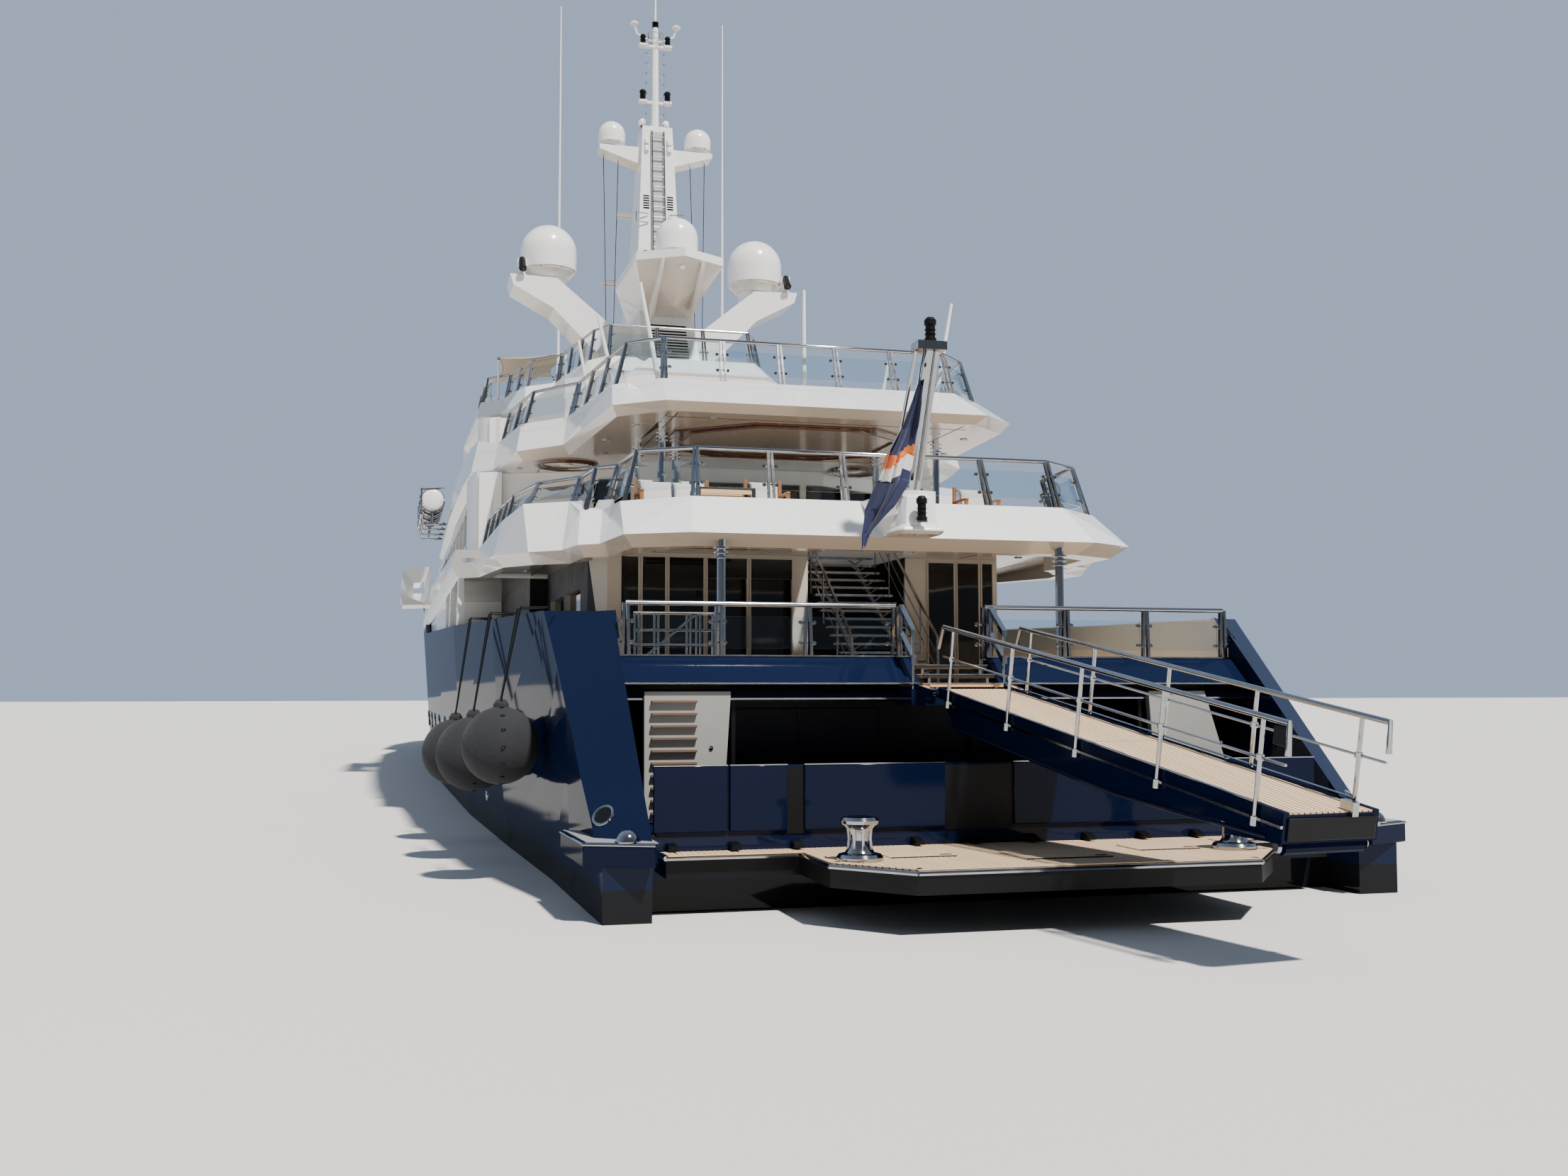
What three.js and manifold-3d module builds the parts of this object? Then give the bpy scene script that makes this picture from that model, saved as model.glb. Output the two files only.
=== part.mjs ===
// A motor yacht, 80 m long, as a 1:10 model: 8 m of hull with four decks, a mast, a boarding
// gangway at the stern and its running gear below the waterline.
// X points to the bow, Y to port, Z up. The origin is on the centreline, amidships, at the waterline.
// All sizes below are metres of the full-size yacht. SCALE turns them into millimetres of the model.
import * as THREE from 'three';
import { mergeVertices } from 'three/addons/utils/BufferGeometryUtils.js';
import Module from 'manifold-3d';

const wasm = await Module();
wasm.setup();

const SCALE = 100;
const GAP = 0.004;
const FAR = 60;

// Driving dimensions
const BOW_X = 40;
const PLATFORM_AFT_X = -41.2;
const DRAFT = 3.9;
const MAIN_DECK_Z = 3.0;
const AFT_CEILING_Z = 5.75;
const SIDE_FOOT_Z = 5.7;
const UPPER_DECK_Z = 6.05;
const BRIDGE_FOOT_Z = 8.4;
const BRIDGE_DECK_Z = 9.1;
const SUN_FOOT_Z = 12.0;
const SUN_DECK_Z = 12.8;
const WALL = 0.12;
const RAIL_R = 0.035;
const POST_R = 0.03;
const GLASS_T = 0.03;

const COLOURS = {
  navy: [0x0b1a3f, 0.12, 0.35],
  white: [0xf3f3ef, 0.25, 0.0],
  beige: [0xb9b2a2, 0.4, 0.0],
  darkGlass: [0x0a0c10, 0.08, 0.2],
  clearGlass: [0x8fb6c4, 0.05, 0.0],
  steel: [0xd8d8d8, 0.15, 1.0],
  bronze: [0xb08d4a, 0.25, 1.0],
  teak: [0xc8ad86, 0.7, 0.0],
  antifoul: [0x2a2f3a, 0.6, 0.0],
  cloth: [0xd9d0bd, 0.9, 0.0],
  navyCloth: [0x131a38, 0.85, 0.0],
  rubber: [0x15171c, 0.75, 0.0],
};

const yacht = new THREE.Group();

function material(name) {
  const [color, roughness, metalness] = COLOURS[name];
  return new THREE.MeshStandardMaterial({ color, roughness, metalness });
}

// A closed geometry as a solid for joining and cutting
function solid(geometry) {
  const bare = geometry.clone();
  for (const name of Object.keys(bare.attributes)) {
    if (name !== 'position') bare.deleteAttribute(name);
  }
  const merged = mergeVertices(bare, 1e-5);
  const mesh = new wasm.Mesh({
    numProp: 3,
    vertProperties: new Float32Array(merged.attributes.position.array),
    triVerts: new Uint32Array(merged.index.array),
  });
  return new wasm.Manifold(mesh);
}

function geometryOf(body) {
  const mesh = body.getMesh();
  const geometry = new THREE.BufferGeometry();
  geometry.setAttribute('position', new THREE.BufferAttribute(mesh.vertProperties, 3));
  geometry.setIndex(new THREE.BufferAttribute(mesh.triVerts, 1));
  return geometry;
}

function join(...bodies) {
  return bodies.reduce((sum, body) => sum.add(body));
}

function cut(body, ...tools) {
  return tools.reduce((rest, tool) => rest.subtract(tool), body);
}

function mirrored(body) {
  const geometry = geometryOf(body);
  geometry.scale(1, -1, 1);
  const index = geometry.index.array;
  for (let i = 0; i < index.length; i += 3) {
    [index[i + 1], index[i + 2]] = [index[i + 2], index[i + 1]];
  }
  return solid(geometry);
}

function moved(body, x, y, z) {
  return solid(geometryOf(body).translate(x, y, z));
}

// A piece that stands on another, ending just above its surface
function seated(body, base) {
  return cut(body, moved(base, 0, 0, GAP));
}

// A piece with a gap all round the one it stands on or leans against
function clearOf(body, base) {
  const steps = [[0, 0, GAP], [GAP, 0, 0], [-GAP, 0, 0], [0, GAP, 0], [0, -GAP, 0]];
  return cut(body, ...steps.map(([x, y, z]) => moved(base, x, y, z)));
}

// Adds one named piece, scaled to the model's millimetres
function add(name, body, colour) {
  const geometry = geometryOf(body);
  geometry.scale(SCALE, SCALE, SCALE);
  geometry.computeVertexNormals();
  const mesh = new THREE.Mesh(geometry, material(colour));
  mesh.name = name;
  yacht.add(mesh);
}

function addPair(name, body, colour) {
  add(`${name}_port`, body, colour);
  add(`${name}_stbd`, mirrored(body), colour);
}

// The two axes that a flat ring of points shows best in
function broadAxes(ring) {
  const normal = [0, 0, 0];
  ring.forEach((p, i) => {
    const q = ring[(i + 1) % ring.length];
    normal[0] += (p[1] - q[1]) * (p[2] + q[2]);
    normal[1] += (p[2] - q[2]) * (p[0] + q[0]);
    normal[2] += (p[0] - q[0]) * (p[1] + q[1]);
  });
  const size = normal.map(Math.abs);
  const drop = size.indexOf(Math.max(...size));
  return [0, 1, 2].filter((axis) => axis !== drop);
}

// The triangles that close a ring, turned the way the ring runs
function capOf(ring) {
  const [u, v] = broadAxes(ring);
  const flat = ring.map((p) => new THREE.Vector2(p[u], p[v]));
  const faces = THREE.ShapeUtils.triangulateShape(flat, []);
  const clockwise = THREE.ShapeUtils.isClockWise(flat);
  return faces.map(([a, b, c]) => {
    const area = THREE.ShapeUtils.area([flat[a], flat[b], flat[c]]);
    return (area < 0) === clockwise ? [a, b, c] : [a, c, b];
  });
}

// Rings of points, one after the other, closed by a cap at each end
// Each four-sided face is split along its shorter diagonal, so mirrored rings give mirrored faces
function loft(rings) {
  const count = rings[0].length;
  const points = rings.flat().map((p) => new THREE.Vector3(...p));
  const index = [];
  for (let r = 0; r + 1 < rings.length; r += 1) {
    for (let i = 0; i < count; i += 1) {
      const j = (i + 1) % count;
      const a = r * count;
      const b = a + count;
      const rising = points[a + i].distanceTo(points[b + j]);
      const falling = points[a + j].distanceTo(points[b + i]);
      if (rising <= falling) index.push(a + i, a + j, b + j, a + i, b + j, b + i);
      else index.push(a + i, a + j, b + i, a + j, b + j, b + i);
    }
  }
  const last = (rings.length - 1) * count;
  for (const [a, b, c] of capOf(rings[0])) index.push(c, b, a);
  for (const [a, b, c] of capOf(rings[rings.length - 1])) index.push(last + a, last + b, last + c);
  const geometry = new THREE.BufferGeometry();
  geometry.setAttribute('position', new THREE.Float32BufferAttribute(rings.flat(2), 3));
  geometry.setIndex(index);
  return facingOut(geometry);
}

function facingOut(geometry) {
  const body = solid(geometry);
  return body.volume() < 0 ? solid(flipped(geometry)) : body;
}

function flipped(geometry) {
  const index = Array.from(geometry.index.array);
  for (let i = 0; i < index.length; i += 3) {
    [index[i + 1], index[i + 2]] = [index[i + 2], index[i + 1]];
  }
  geometry.setIndex(index);
  return geometry;
}

// A port half outline, from aft to forward, made whole by its mirror image
function bothSides(half) {
  const port = half.filter((p, i) => p[1] > 1e-6 || i === 0 || i === half.length - 1);
  const starboard = port.filter((p) => p[1] > 1e-6).map(([x, y, ...z]) => [x, -y, ...z]).reverse();
  return [...port, ...starboard];
}

// Plan outlines stacked up: each layer is [outline of x,y(,z), z added]
function stack(layers) {
  const rings = layers.map(([outline, z]) => outline.map((p) => [p[0], p[1], (p[2] ?? 0) + z]));
  return loft(rings);
}

function prism(outline, z0, z1) {
  return stack([[outline, z0], [outline, z1]]);
}

// A side view outline of x,z, extruded from y0 to y1
function slab(outline, y0, y1) {
  const ring = (y) => outline.map(([x, z]) => [x, y, z]);
  return loft([ring(y0), ring(y1)]);
}

// A view from aft, outline of y,z, extruded from x0 to x1
function frame(outline, x0, x1) {
  const ring = (x) => outline.map(([y, z]) => [x, y, z]);
  return loft([ring(x0), ring(x1)]);
}

function box(x0, x1, y0, y1, z0, z1) {
  const geometry = new THREE.BoxGeometry(x1 - x0, y1 - y0, z1 - z0);
  geometry.translate((x0 + x1) / 2, (y0 + y1) / 2, (z0 + z1) / 2);
  return solid(geometry);
}

// A round bar between two points
function bar(a, b, r0, r1 = r0, sides = 8) {
  const from = new THREE.Vector3(...a);
  const to = new THREE.Vector3(...b);
  const run = to.clone().sub(from);
  const geometry = new THREE.CylinderGeometry(r1, r0, run.length(), sides);
  const turn = new THREE.Quaternion().setFromUnitVectors(
    new THREE.Vector3(0, 1, 0), run.clone().normalize());
  geometry.applyQuaternion(turn);
  const middle = from.add(to).multiplyScalar(0.5);
  geometry.translate(middle.x, middle.y, middle.z);
  return solid(geometry);
}

// A turned body: [radius, height] pairs about a vertical axis through x, y
function turned(profile, x, y, z, sides = 24) {
  const geometry = new THREE.LatheGeometry(profile.map((p) => new THREE.Vector2(...p)), sides);
  geometry.rotateX(Math.PI / 2);
  geometry.translate(x, y, z);
  return facingOut(geometry);
}

// A flat section swept along a path in plan, mitred at its corners
// section is [out, up] pairs; out is to the left of the path's direction
function sweep(path, section) {
  const rings = path.map((p, i) => {
    const before = path[i - 1];
    const after = path[i + 1];
    const dir = (a, b) => new THREE.Vector2(b[0] - a[0], b[1] - a[1]).normalize();
    const d0 = before ? dir(before, p) : dir(p, after);
    const d1 = after ? dir(p, after) : d0;
    const mean = d0.clone().add(d1).normalize();
    const stretch = 1 / Math.max(0.4, mean.dot(d1));
    return section.map(([out, up]) => [
      p[0] - mean.y * out * stretch,
      p[1] + mean.x * out * stretch,
      p[2] + up,
    ]);
  });
  return loft(rings);
}

// A round section with a few sides, for sweep
function roundSection(r, sides = 6) {
  return Array.from({ length: sides }, (_, i) => {
    const angle = ((i + 0.5) * 2 * Math.PI) / sides;
    return [r * Math.cos(angle), r * Math.sin(angle)];
  });
}

// Transom, seen from the side, and the gate in the coaming above it
const FASCIA_X = -36.0;
const RECESS_X = -34.9;
const TRANSOM_X = -38.35;
const COAMING = 0.15;
const COAMING_Z = 3.46;
const GATE = [-0.75, 0.55];

// Gangway, in its own frame: along -X from the hinge, then turned to its slope and its heading
const GANGWAY = {
  x: -37.1, y: -0.1, z: 2.95, half: 0.62, run: 7.5, drop: 1.3, rise: 0.95, turn: 0.122, pin: 0.05,
  endBox: 0.9, roller: 0.09,
};
const GANGWAY_LENGTH = Math.hypot(GANGWAY.run, GANGWAY.drop);

function onGangway(body) {
  const geometry = geometryOf(body);
  geometry.rotateY(-Math.atan2(GANGWAY.drop, GANGWAY.run));
  geometry.rotateZ(GANGWAY.turn);
  geometry.translate(GANGWAY.x, GANGWAY.y, GANGWAY.z);
  return solid(geometry);
}

// The ledge outside the gate, with the two ears that hold the gangway's hinge pin
function gangwayLanding() {
  const ledge = box(-36.95, FASCIA_X - 0.2, GATE[0] - 0.35, GATE[1] + 0.3, 2.72, MAIN_DECK_Z - 0.04);
  const ears = [1, -1].map((side) => {
    const [y0, y1] = [GANGWAY.half + 0.08 + GAP, GANGWAY.half + 0.18]
      .map((y) => y * side)
      .sort((p, q) => p - q);
    return onGangway(box(-0.12, 0.45, y0, y1, -0.2, 0.02));
  });
  return join(ledge, ...ears);
}

function gangwayDeck() {
  const { half, pin, endBox, roller } = GANGWAY;
  const length = GANGWAY_LENGTH;
  const planks = box(-length, 0, -half, half, -0.12, 0);
  const foot = slab([[-length, -0.1], [-length, -0.3], [-length + endBox, -0.42], [-length + endBox, -0.1]],
    -half, half);
  const axle = (y) => [-length + 0.12, y, -0.36];
  const wheel = bar(axle(-half + 0.1), axle(half - 0.1), roller, roller, 12);
  const outline = [[-length, -0.12], [-length, -0.2], [-length * 0.6, -0.5], [-0.5, -0.5], [-0.25, -0.12]];
  const beams = [slab(outline, -half, -half + 0.12), slab(outline, half - 0.12, half)];
  const hinge = bar([-0.03, -half - 0.08, -0.06], [-0.03, half + 0.08, -0.06], pin);
  return onGangway(join(planks, foot, wheel, ...beams, hinge));
}

function gangwayRail(side) {
  const length = GANGWAY_LENGTH;
  const y = side * (GANGWAY.half + POST_R + GAP);
  const posts = 5;
  const parts = [
    bar([-length, y, GANGWAY.rise], [-0.2, y, GANGWAY.rise], RAIL_R, RAIL_R, 6),
    bar([-length, y, GANGWAY.rise * 0.55], [-0.2, y, GANGWAY.rise * 0.55], RAIL_R * 0.6, RAIL_R * 0.6, 4),
  ];
  for (let i = 0; i < posts; i += 1) {
    const x = -0.4 - (i * (length - 0.8)) / (posts - 1);
    parts.push(bar([x, y, -0.1], [x, y, GANGWAY.rise], POST_R, POST_R, 6));
  }
  return onGangway(join(...parts));
}

// Running gear sizes
const SHAFT = { x: -29.6, y: 2.6, z: -2.55, length: 7.4, r: 0.14, tube: 0.3 };
const PROP = { r: 1.2, blades: 5, hub: 0.28 };
const RUDDER = { x: -33.4, y: 2.6, z1: -1.15, z0: -3.4, chord: 1.9, thick: 0.26, stock: 0.11 };
const TRUNK_FOOT_Z = -0.85;
const FIN = { x: -2, y: 5.6525, z: -2.301, root: 1.5, tip: 1.0, span: 1.7, tilt: -0.7343, clear: 0.06 };

// HULL
// Stations: x, half beam at the waterline, half beam at the top, depth of the keel, height of the top
const STATIONS = [
  [-39.2, 5.78, 5.8, -0.15, 4.0],
  [-36.5, 5.85, 5.97, -0.4, 4.1],
  [-34.3, 5.9, 6.1, -0.62, 4.21],
  [-29.0, 6.15, 6.5, -1.15, 4.33],
  [-21.0, 6.45, 6.9, -2.45, 4.55],
  [-8.0, 6.65, 6.95, -DRAFT, 4.95],
  [3.0, 6.65, 6.95, -DRAFT, 5.3],
  [4.0, 6.62, 6.95, -DRAFT, SIDE_FOOT_Z - GAP],
  [12.0, 6.15, 6.85, -DRAFT, SIDE_FOOT_Z - GAP],
  [19.0, 5.2, 6.5, -DRAFT, SIDE_FOOT_Z - GAP],
  [26.0, 3.7, 5.7, -3.8, SIDE_FOOT_Z - GAP],
  [32.0, 2.0, 4.3, -3.5, SIDE_FOOT_Z - GAP],
  [36.5, 0.75, 2.6, -2.9, SIDE_FOOT_Z - GAP],
  [38.2, 0.12, 1.6, -1.6, SIDE_FOOT_Z - GAP],
];
// Raised bow: x, half beam and height of its foot, then of its top
const BOW_STATIONS = [
  [19.0, 6.4, 6.75, 5.2, 7.3],
  [26.0, 5.55, 6.14, 5.2, 7.5],
  [32.0, 4.14, 4.88, 5.2, 7.8],
  [36.5, 2.47, 3.15, 5.2, 8.05],
  [39.2, 0.95, 1.45, 5.4, 8.25],
  [BOW_X, 0.1, 0.25, 7.9, 8.35],
];
// Bilge curve: share of the half beam, share of the keel's depth
const BILGE = [[0.0, 1.0], [0.2, 1.0], [0.46, 0.94], [0.76, 0.76], [0.94, 0.42], [1.0, 0.0]];

function hullRing([x, waterline, top, keel, height]) {
  const halfKeel = 0.05;
  const below = BILGE.map(([share, depth]) => (
    [x, share > 0 ? Math.max(share * waterline, halfKeel) : 0, keel * depth]));
  const knuckle = [x, waterline + (top - waterline) * 0.62, height * 0.45];
  const port = [...below, knuckle, [x, top, height]];
  const starboard = port.slice(1).map(([px, py, pz]) => [px, -py, pz]).reverse();
  return [...port, ...starboard];
}

// Where each propeller shaft leaves the hull
function sternTube() {
  const x = SHAFT.x + SHAFT.length + GAP;
  return bar([x, SHAFT.y, SHAFT.z], [x + 4.5, SHAFT.y, SHAFT.z], SHAFT.tube, SHAFT.tube * 1.3, 12);
}

function rudderTrunk() {
  const { x, y, stock } = RUDDER;
  return bar([x, y, TRUNK_FOOT_Z], [x, y, 0], stock * 2, stock * 2.2, 12);
}

function bowRing([x, low, high, z0, z1]) {
  return [[x, low, z0], [x, high, z1], [x, -high, z1], [x, -low, z0]];
}

// Quarter wings: the raked facets at each side of the transom, by their outer and inner edges
const WING_TOP_Z = 4.21;
const WING_OUTER = { x: -34.3, y: 6.1, rake: 1.23 };
const WING_INNER = { x: -35.5, y: 5.15, rake: 1.16 };
const WING_FOOT_Z = 0.9;

function wingCutter() {
  const level = (z) => {
    const outer = WING_OUTER.x - (WING_TOP_Z - z) * WING_OUTER.rake;
    const inner = WING_INNER.x - (WING_TOP_Z - z) * WING_INNER.rake;
    const lean = (outer - inner) / (WING_OUTER.y - WING_INNER.y);
    return [
      [inner, WING_INNER.y, z],
      [outer + lean * 1.5, WING_OUTER.y + 1.5, z],
      [-FAR, WING_OUTER.y + 1.5, z],
      [-FAR, WING_INNER.y, z],
    ];
  };
  return loft([level(WING_FOOT_Z), level(WING_TOP_Z + 2)]);
}

// What is cut away between the wings, as a side view: fascia, stair recess and lower panel
function transomCutter() {
  const inner = FASCIA_X + COAMING + GAP;
  const outline = [
    [-FAR, 9], [inner, 9], [inner, COAMING_Z], [FASCIA_X, COAMING_Z], [FASCIA_X - 0.5, 3.05],
    [FASCIA_X - 0.3, 2.82], [RECESS_X, 2.78], [RECESS_X, 1.0], [TRANSOM_X, 1.0], [TRANSOM_X, -9],
    [-FAR, -9],
  ];
  return slab(outline, -WING_INNER.y, WING_INNER.y);
}

// The open main deck inside the bulwarks, aft, with the side decks that lead forward from it
const WELL_END_X = -21.4;
const SIDE_DECK = { endX: -12, inner: 5.2, outer: 6.65 };
function mainDeckWell() {
  const x = FASCIA_X + COAMING;
  const { endX, inner, outer } = SIDE_DECK;
  const half = [[x, 0], [x, 5.3], [-34.0, 5.85], [-29.0, 6.25], [WELL_END_X, 6.6],
    [endX, outer], [endX, inner], [WELL_END_X, inner], [WELL_END_X, 0]];
  const gate = box(-FAR, x + COAMING, GATE[0], GATE[1], MAIN_DECK_Z, 9);
  return join(prism(bothSides(half), MAIN_DECK_Z, 9), gate);
}

// The foredeck inside its bulwarks: a working deck and, ahead of it, the higher windlass deck
const FOREDECK_Z = 6.45;
const WINDLASS_DECK = { x: 33.6, z: 6.75 };
function foredeckWell() {
  const half = [[28.4, 0], [28.4, 5.15], [32.0, 4.4], [36.5, 2.75], [38.9, 1.05], [38.9, 0]];
  const step = box(WINDLASS_DECK.x, BOW_X, -4, 4, FOREDECK_Z - 1, WINDLASS_DECK.z);
  return cut(prism(bothSides(half), FOREDECK_Z, 12), step);
}

// Where the upper deck sits inside the raised bow
function deckSeat() {
  const half = [[18, 0], [18, 6.15], [19.0, 6.12], [26.0, 5.35], [28.4, 4.8], [28.4, 0]];
  return prism(bothSides(half), SIDE_FOOT_Z - GAP, 12);
}

function hull() {
  const lower = loft(STATIONS.map(hullRing));
  const bow = loft(BOW_STATIONS.map(bowRing));
  const skeg = slab([[-32, -0.7], [-12, -3.2], [-12, -DRAFT], [-16, -DRAFT], [-31, -1.9]], -0.12, 0.12);
  const port = wingCutter();
  const tube = sternTube();
  const trunk = rudderTrunk();
  const gear = join(skeg, tube, mirrored(tube), trunk, mirrored(trunk));
  const wells = [mainDeckWell(), foredeckWell(), deckSeat()];
  const bare = cut(join(lower, bow), port, mirrored(port), transomCutter(), ...wells);
  return join(bare, gear, gangwayLanding());
}

const hullBody = hull();
add('hull', hullBody, 'navy');

// The white band between the hull's rising top edge and the upper deck, set in along the side decks
function topsideBand() {
  const { endX, inner } = SIDE_DECK;
  const wall = inner - 0.1;
  const half = [[-21.3, 0], [-21.3, wall], [endX + 0.1, wall], [endX + 0.1, 6.75], [3.95, 6.75], [3.95, 0]];
  return cut(prism(bothSides(half), 4.0, SIDE_FOOT_Z - GAP), moved(hullBody, 0, 0, GAP));
}
add('topside_band', topsideBand(), 'white');

// DECKS
// Port half outlines from aft to forward, as x, y, height of that edge
const UPPER_DECK = {
  floor: UPPER_DECK_Z,
  top: [
    [-33.2, 0, 6.27], [-33.2, 3.44, 6.27], [-32.2, 4.54, 6.27], [-30.6, 4.62, 6.3],
    [-30.3, 5.0, 6.3], [-29.36, 5.1, 6.6], [-28.75, 5.92, 6.6], [-27.0, 6.2, 6.45],
    [-22.2, 6.4, 6.3], [-21.6, 6.9, 6.35], [4.0, 6.9, 7.0], [12.0, 6.8, 7.1],
    [18.6, 5.95, 7.1], [26.0, 5.15, 7.1], [28.2, 4.6, 7.1], [28.2, 0, 7.1],
  ],
  knuckle: [
    [-34.1, 0, 5.55], [-34.1, 3.63, 5.55], [-33.4, 4.65, 5.56], [-31.5, 4.8, 5.58],
    [-31.2, 5.15, 5.58], [-29.93, 5.29, 5.6], [-29.34, 5.87, 5.6], [-27.6, 6.4, 5.68],
    [-21.6, 6.5, 5.97], [-21.2, 6.98, 5.98], [4.0, 7.0, 6.0], [12.0, 6.9, 6.0],
    [18.6, 6.05, 6.0], [26.0, 5.25, 6.0], [28.2, 4.7, 6.0], [28.2, 0, 6.0],
  ],
  foot: [
    [-33.6, 0, 5.37], [-33.6, 3.5, 5.37], [-33.05, 4.45, 5.37], [-31.3, 4.6, 5.37],
    [-31.0, 5.0, 5.37], [-29.7, 5.1, 5.37], [-29.2, 5.75, 5.37], [-27.5, 6.2, 5.45],
    [-21.5, 6.35, SIDE_FOOT_Z], [-21.1, 6.8, SIDE_FOOT_Z], [4.0, 6.8, SIDE_FOOT_Z],
    [12.0, 6.7, SIDE_FOOT_Z], [18.6, 5.9, SIDE_FOOT_Z], [26.0, 5.15, SIDE_FOOT_Z],
    [28.2, 4.6, SIDE_FOOT_Z], [28.2, 0, SIDE_FOOT_Z],
  ],
};
const BRIDGE_DECK = {
  floor: BRIDGE_DECK_Z,
  top: [
    [-28.6, 0, 9.27], [-28.6, 3.14, 9.27], [-27.7, 4.04, 9.27], [-23.65, 4.5, 9.3],
    [-22.5, 5.45, 9.3], [-19.6, 5.78, 9.3], [-18.9, 6.25, 9.45], [-16.0, 6.3, 9.7],
    [-8.0, 6.35, 9.9], [6.0, 6.2, 9.9], [14.0, 5.2, 9.9], [18.6, 3.0, 9.9], [19.6, 0, 9.9],
  ],
  knuckle: [
    [-30.0, 0, 8.55], [-30.0, 3.33, 8.55], [-29.05, 4.23, 8.58], [-23.95, 4.62, 8.6],
    [-22.75, 5.58, 8.6], [-19.7, 5.9, 8.6], [-18.9, 6.42, 8.62], [-16.0, 6.5, 8.62],
    [-8.0, 6.55, 8.62], [6.0, 6.4, 8.62], [14.4, 5.35, 8.62], [19.1, 3.1, 8.62], [20.2, 0, 8.62],
  ],
  foot: [
    [-29.7, 0], [-29.7, 3.2], [-28.8, 4.1], [-23.7, 4.45], [-22.5, 5.4], [-19.5, 5.72], [-18.7, 6.25],
    [-16.0, 6.3], [-8.0, 6.35], [6.0, 6.2], [14.2, 5.15], [18.8, 2.9], [19.9, 0],
  ].map(([x, y]) => [x, y, BRIDGE_FOOT_Z]),
};
const SUN_DECK = {
  floor: SUN_DECK_Z,
  top: [
    [-14.3, 0], [-14.3, 2.25], [-13.4, 2.75], [-9.95, 3.33], [-9.14, 4.2], [-7.6, 4.6],
    [-6.9, 4.75], [-6.0, 5.45], [0, 5.55], [7.0, 5.2], [11.4, 3.6], [12.4, 0],
  ].map(([x, y]) => [x, y, 12.95]),
  knuckle: [
    [-15.4, 0], [-15.4, 2.44], [-14.4, 3.0], [-10.9, 3.45], [-10.05, 4.3], [-8.4, 4.7],
    [-7.6, 4.85], [-6.6, 5.62], [0, 5.75], [7.3, 5.4], [12.1, 3.8], [13.2, 0],
  ].map(([x, y]) => [x, y, 12.3]),
  foot: [
    [-15.1, 0], [-15.1, 2.3], [-14.1, 2.85], [-10.6, 3.3], [-9.8, 4.1], [-8.1, 4.5],
    [-7.4, 4.65], [-6.4, 5.4], [0, 5.5], [7.1, 5.2], [11.8, 3.6], [12.8, 0],
  ].map(([x, y]) => [x, y, SUN_FOOT_Z]),
};

// The outline moved inwards by a wall's thickness
function inset(half, by) {
  return half.map((p, i) => {
    const before = half[i - 1] ?? [p[0], -1];
    const after = half[i + 1] ?? [p[0], -1];
    const d0 = new THREE.Vector2(p[0] - before[0], p[1] - before[1]).normalize();
    const d1 = new THREE.Vector2(after[0] - p[0], after[1] - p[1]).normalize();
    const mean = d0.add(d1).normalize();
    const stretch = Math.min(1 / Math.max(mean.dot(d1), 0.5), 1.6);
    const y = p[1] < 1e-6 ? 0 : p[1] - mean.x * by * stretch;
    const x = p[1] < 1e-6 ? p[0] + (i === 0 ? by : -by) : p[0] + mean.y * by * stretch;
    return [x, y];
  });
}

// The whole deck with its bulwark, down to the floor inside it
function deck({ floor, top, knuckle, foot }) {
  const outer = stack([[bothSides(foot), 0], [bothSides(knuckle), 0], [bothSides(top), 0]]);
  const well = prism(bothSides(inset(top, WALL * 1.3)), floor, floor + 4);
  return cut(outer, well);
}

// The coffered ceiling over the aft main deck, and the stairwell through the deck above it
const STAIR = { x0: -30.8, x1: -26.5, y0: -1.95, y1: -0.1, treads: 16, depth: 0.26, thick: 0.05, rail: 1.0 };
function ceilingCutter() {
  const half = [[-33.2, 0], [-33.2, 3.2], [-32.6, 4.1], [-31.2, 4.3], [-30.7, 4.7], [-29.4, 4.8],
    [-28.8, 5.4], [-27.4, 5.85], [WELL_END_X - 0.05, 6.0], [WELL_END_X - 0.05, 0]];
  const hole = box(-29.6, STAIR.x1 + 0.05, STAIR.y0 - 0.1, STAIR.y1 + 0.1, 5, 9);
  return join(prism(bothSides(half), 5.0, AFT_CEILING_Z), hole);
}

// The bracket on the upper deck's stern that carries the ensign staff
const ENSIGN = { x: -34.4, z: 6.25, topX: -35.6, topZ: 8.6, r: 0.08 };
function ensignBracket() {
  const foot = [[-34.3, 0], [-34.25, 0.3], [-33.2, 0.4], [-33.1, 0]];
  const body = [[-34.95, 0], [-34.85, 0.35], [-33.2, 0.45], [-33.1, 0]];
  return stack([[bothSides(foot), 5.56], [bothSides(body), 5.85], [bothSides(body), ENSIGN.z]]);
}

// Raked pillars under the edge of the upper deck: x of the foot and of the top
const PILLARS = [[-21.5, -20.9], [-16.8, -16.3]];
function sidePillars() {
  return join(...PILLARS.map(([foot, top]) => stack([
    [[[foot, 6.66], [foot, 6.84], [foot + 0.9, 6.84], [foot + 0.9, 6.66]], 4.3],
    [[[top, 6.66], [top, 6.78], [top + 0.6, 6.78], [top + 0.6, 6.66]], SIDE_FOOT_Z + 0.05],
  ])));
}

// Round posts between two decks, each with rings at its head
const DECK_POSTS = [[-33.8, 3.07]];
const UPPER_POSTS = [[-27.83, 3.01], [-25.9, 3.2], [-25.7, 2.34]];
function roundPost(x, y, z0, z1) {
  const ringAt = (drop) => bar([x, y, z1 - drop - 0.03], [x, y, z1 - drop], 0.13, 0.13, 10);
  const rings = [0.16, 0.24, 0.32].map(ringAt);
  return join(bar([x, y, z0], [x, y, z1], 0.075, 0.075, 10), ...rings);
}

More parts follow.
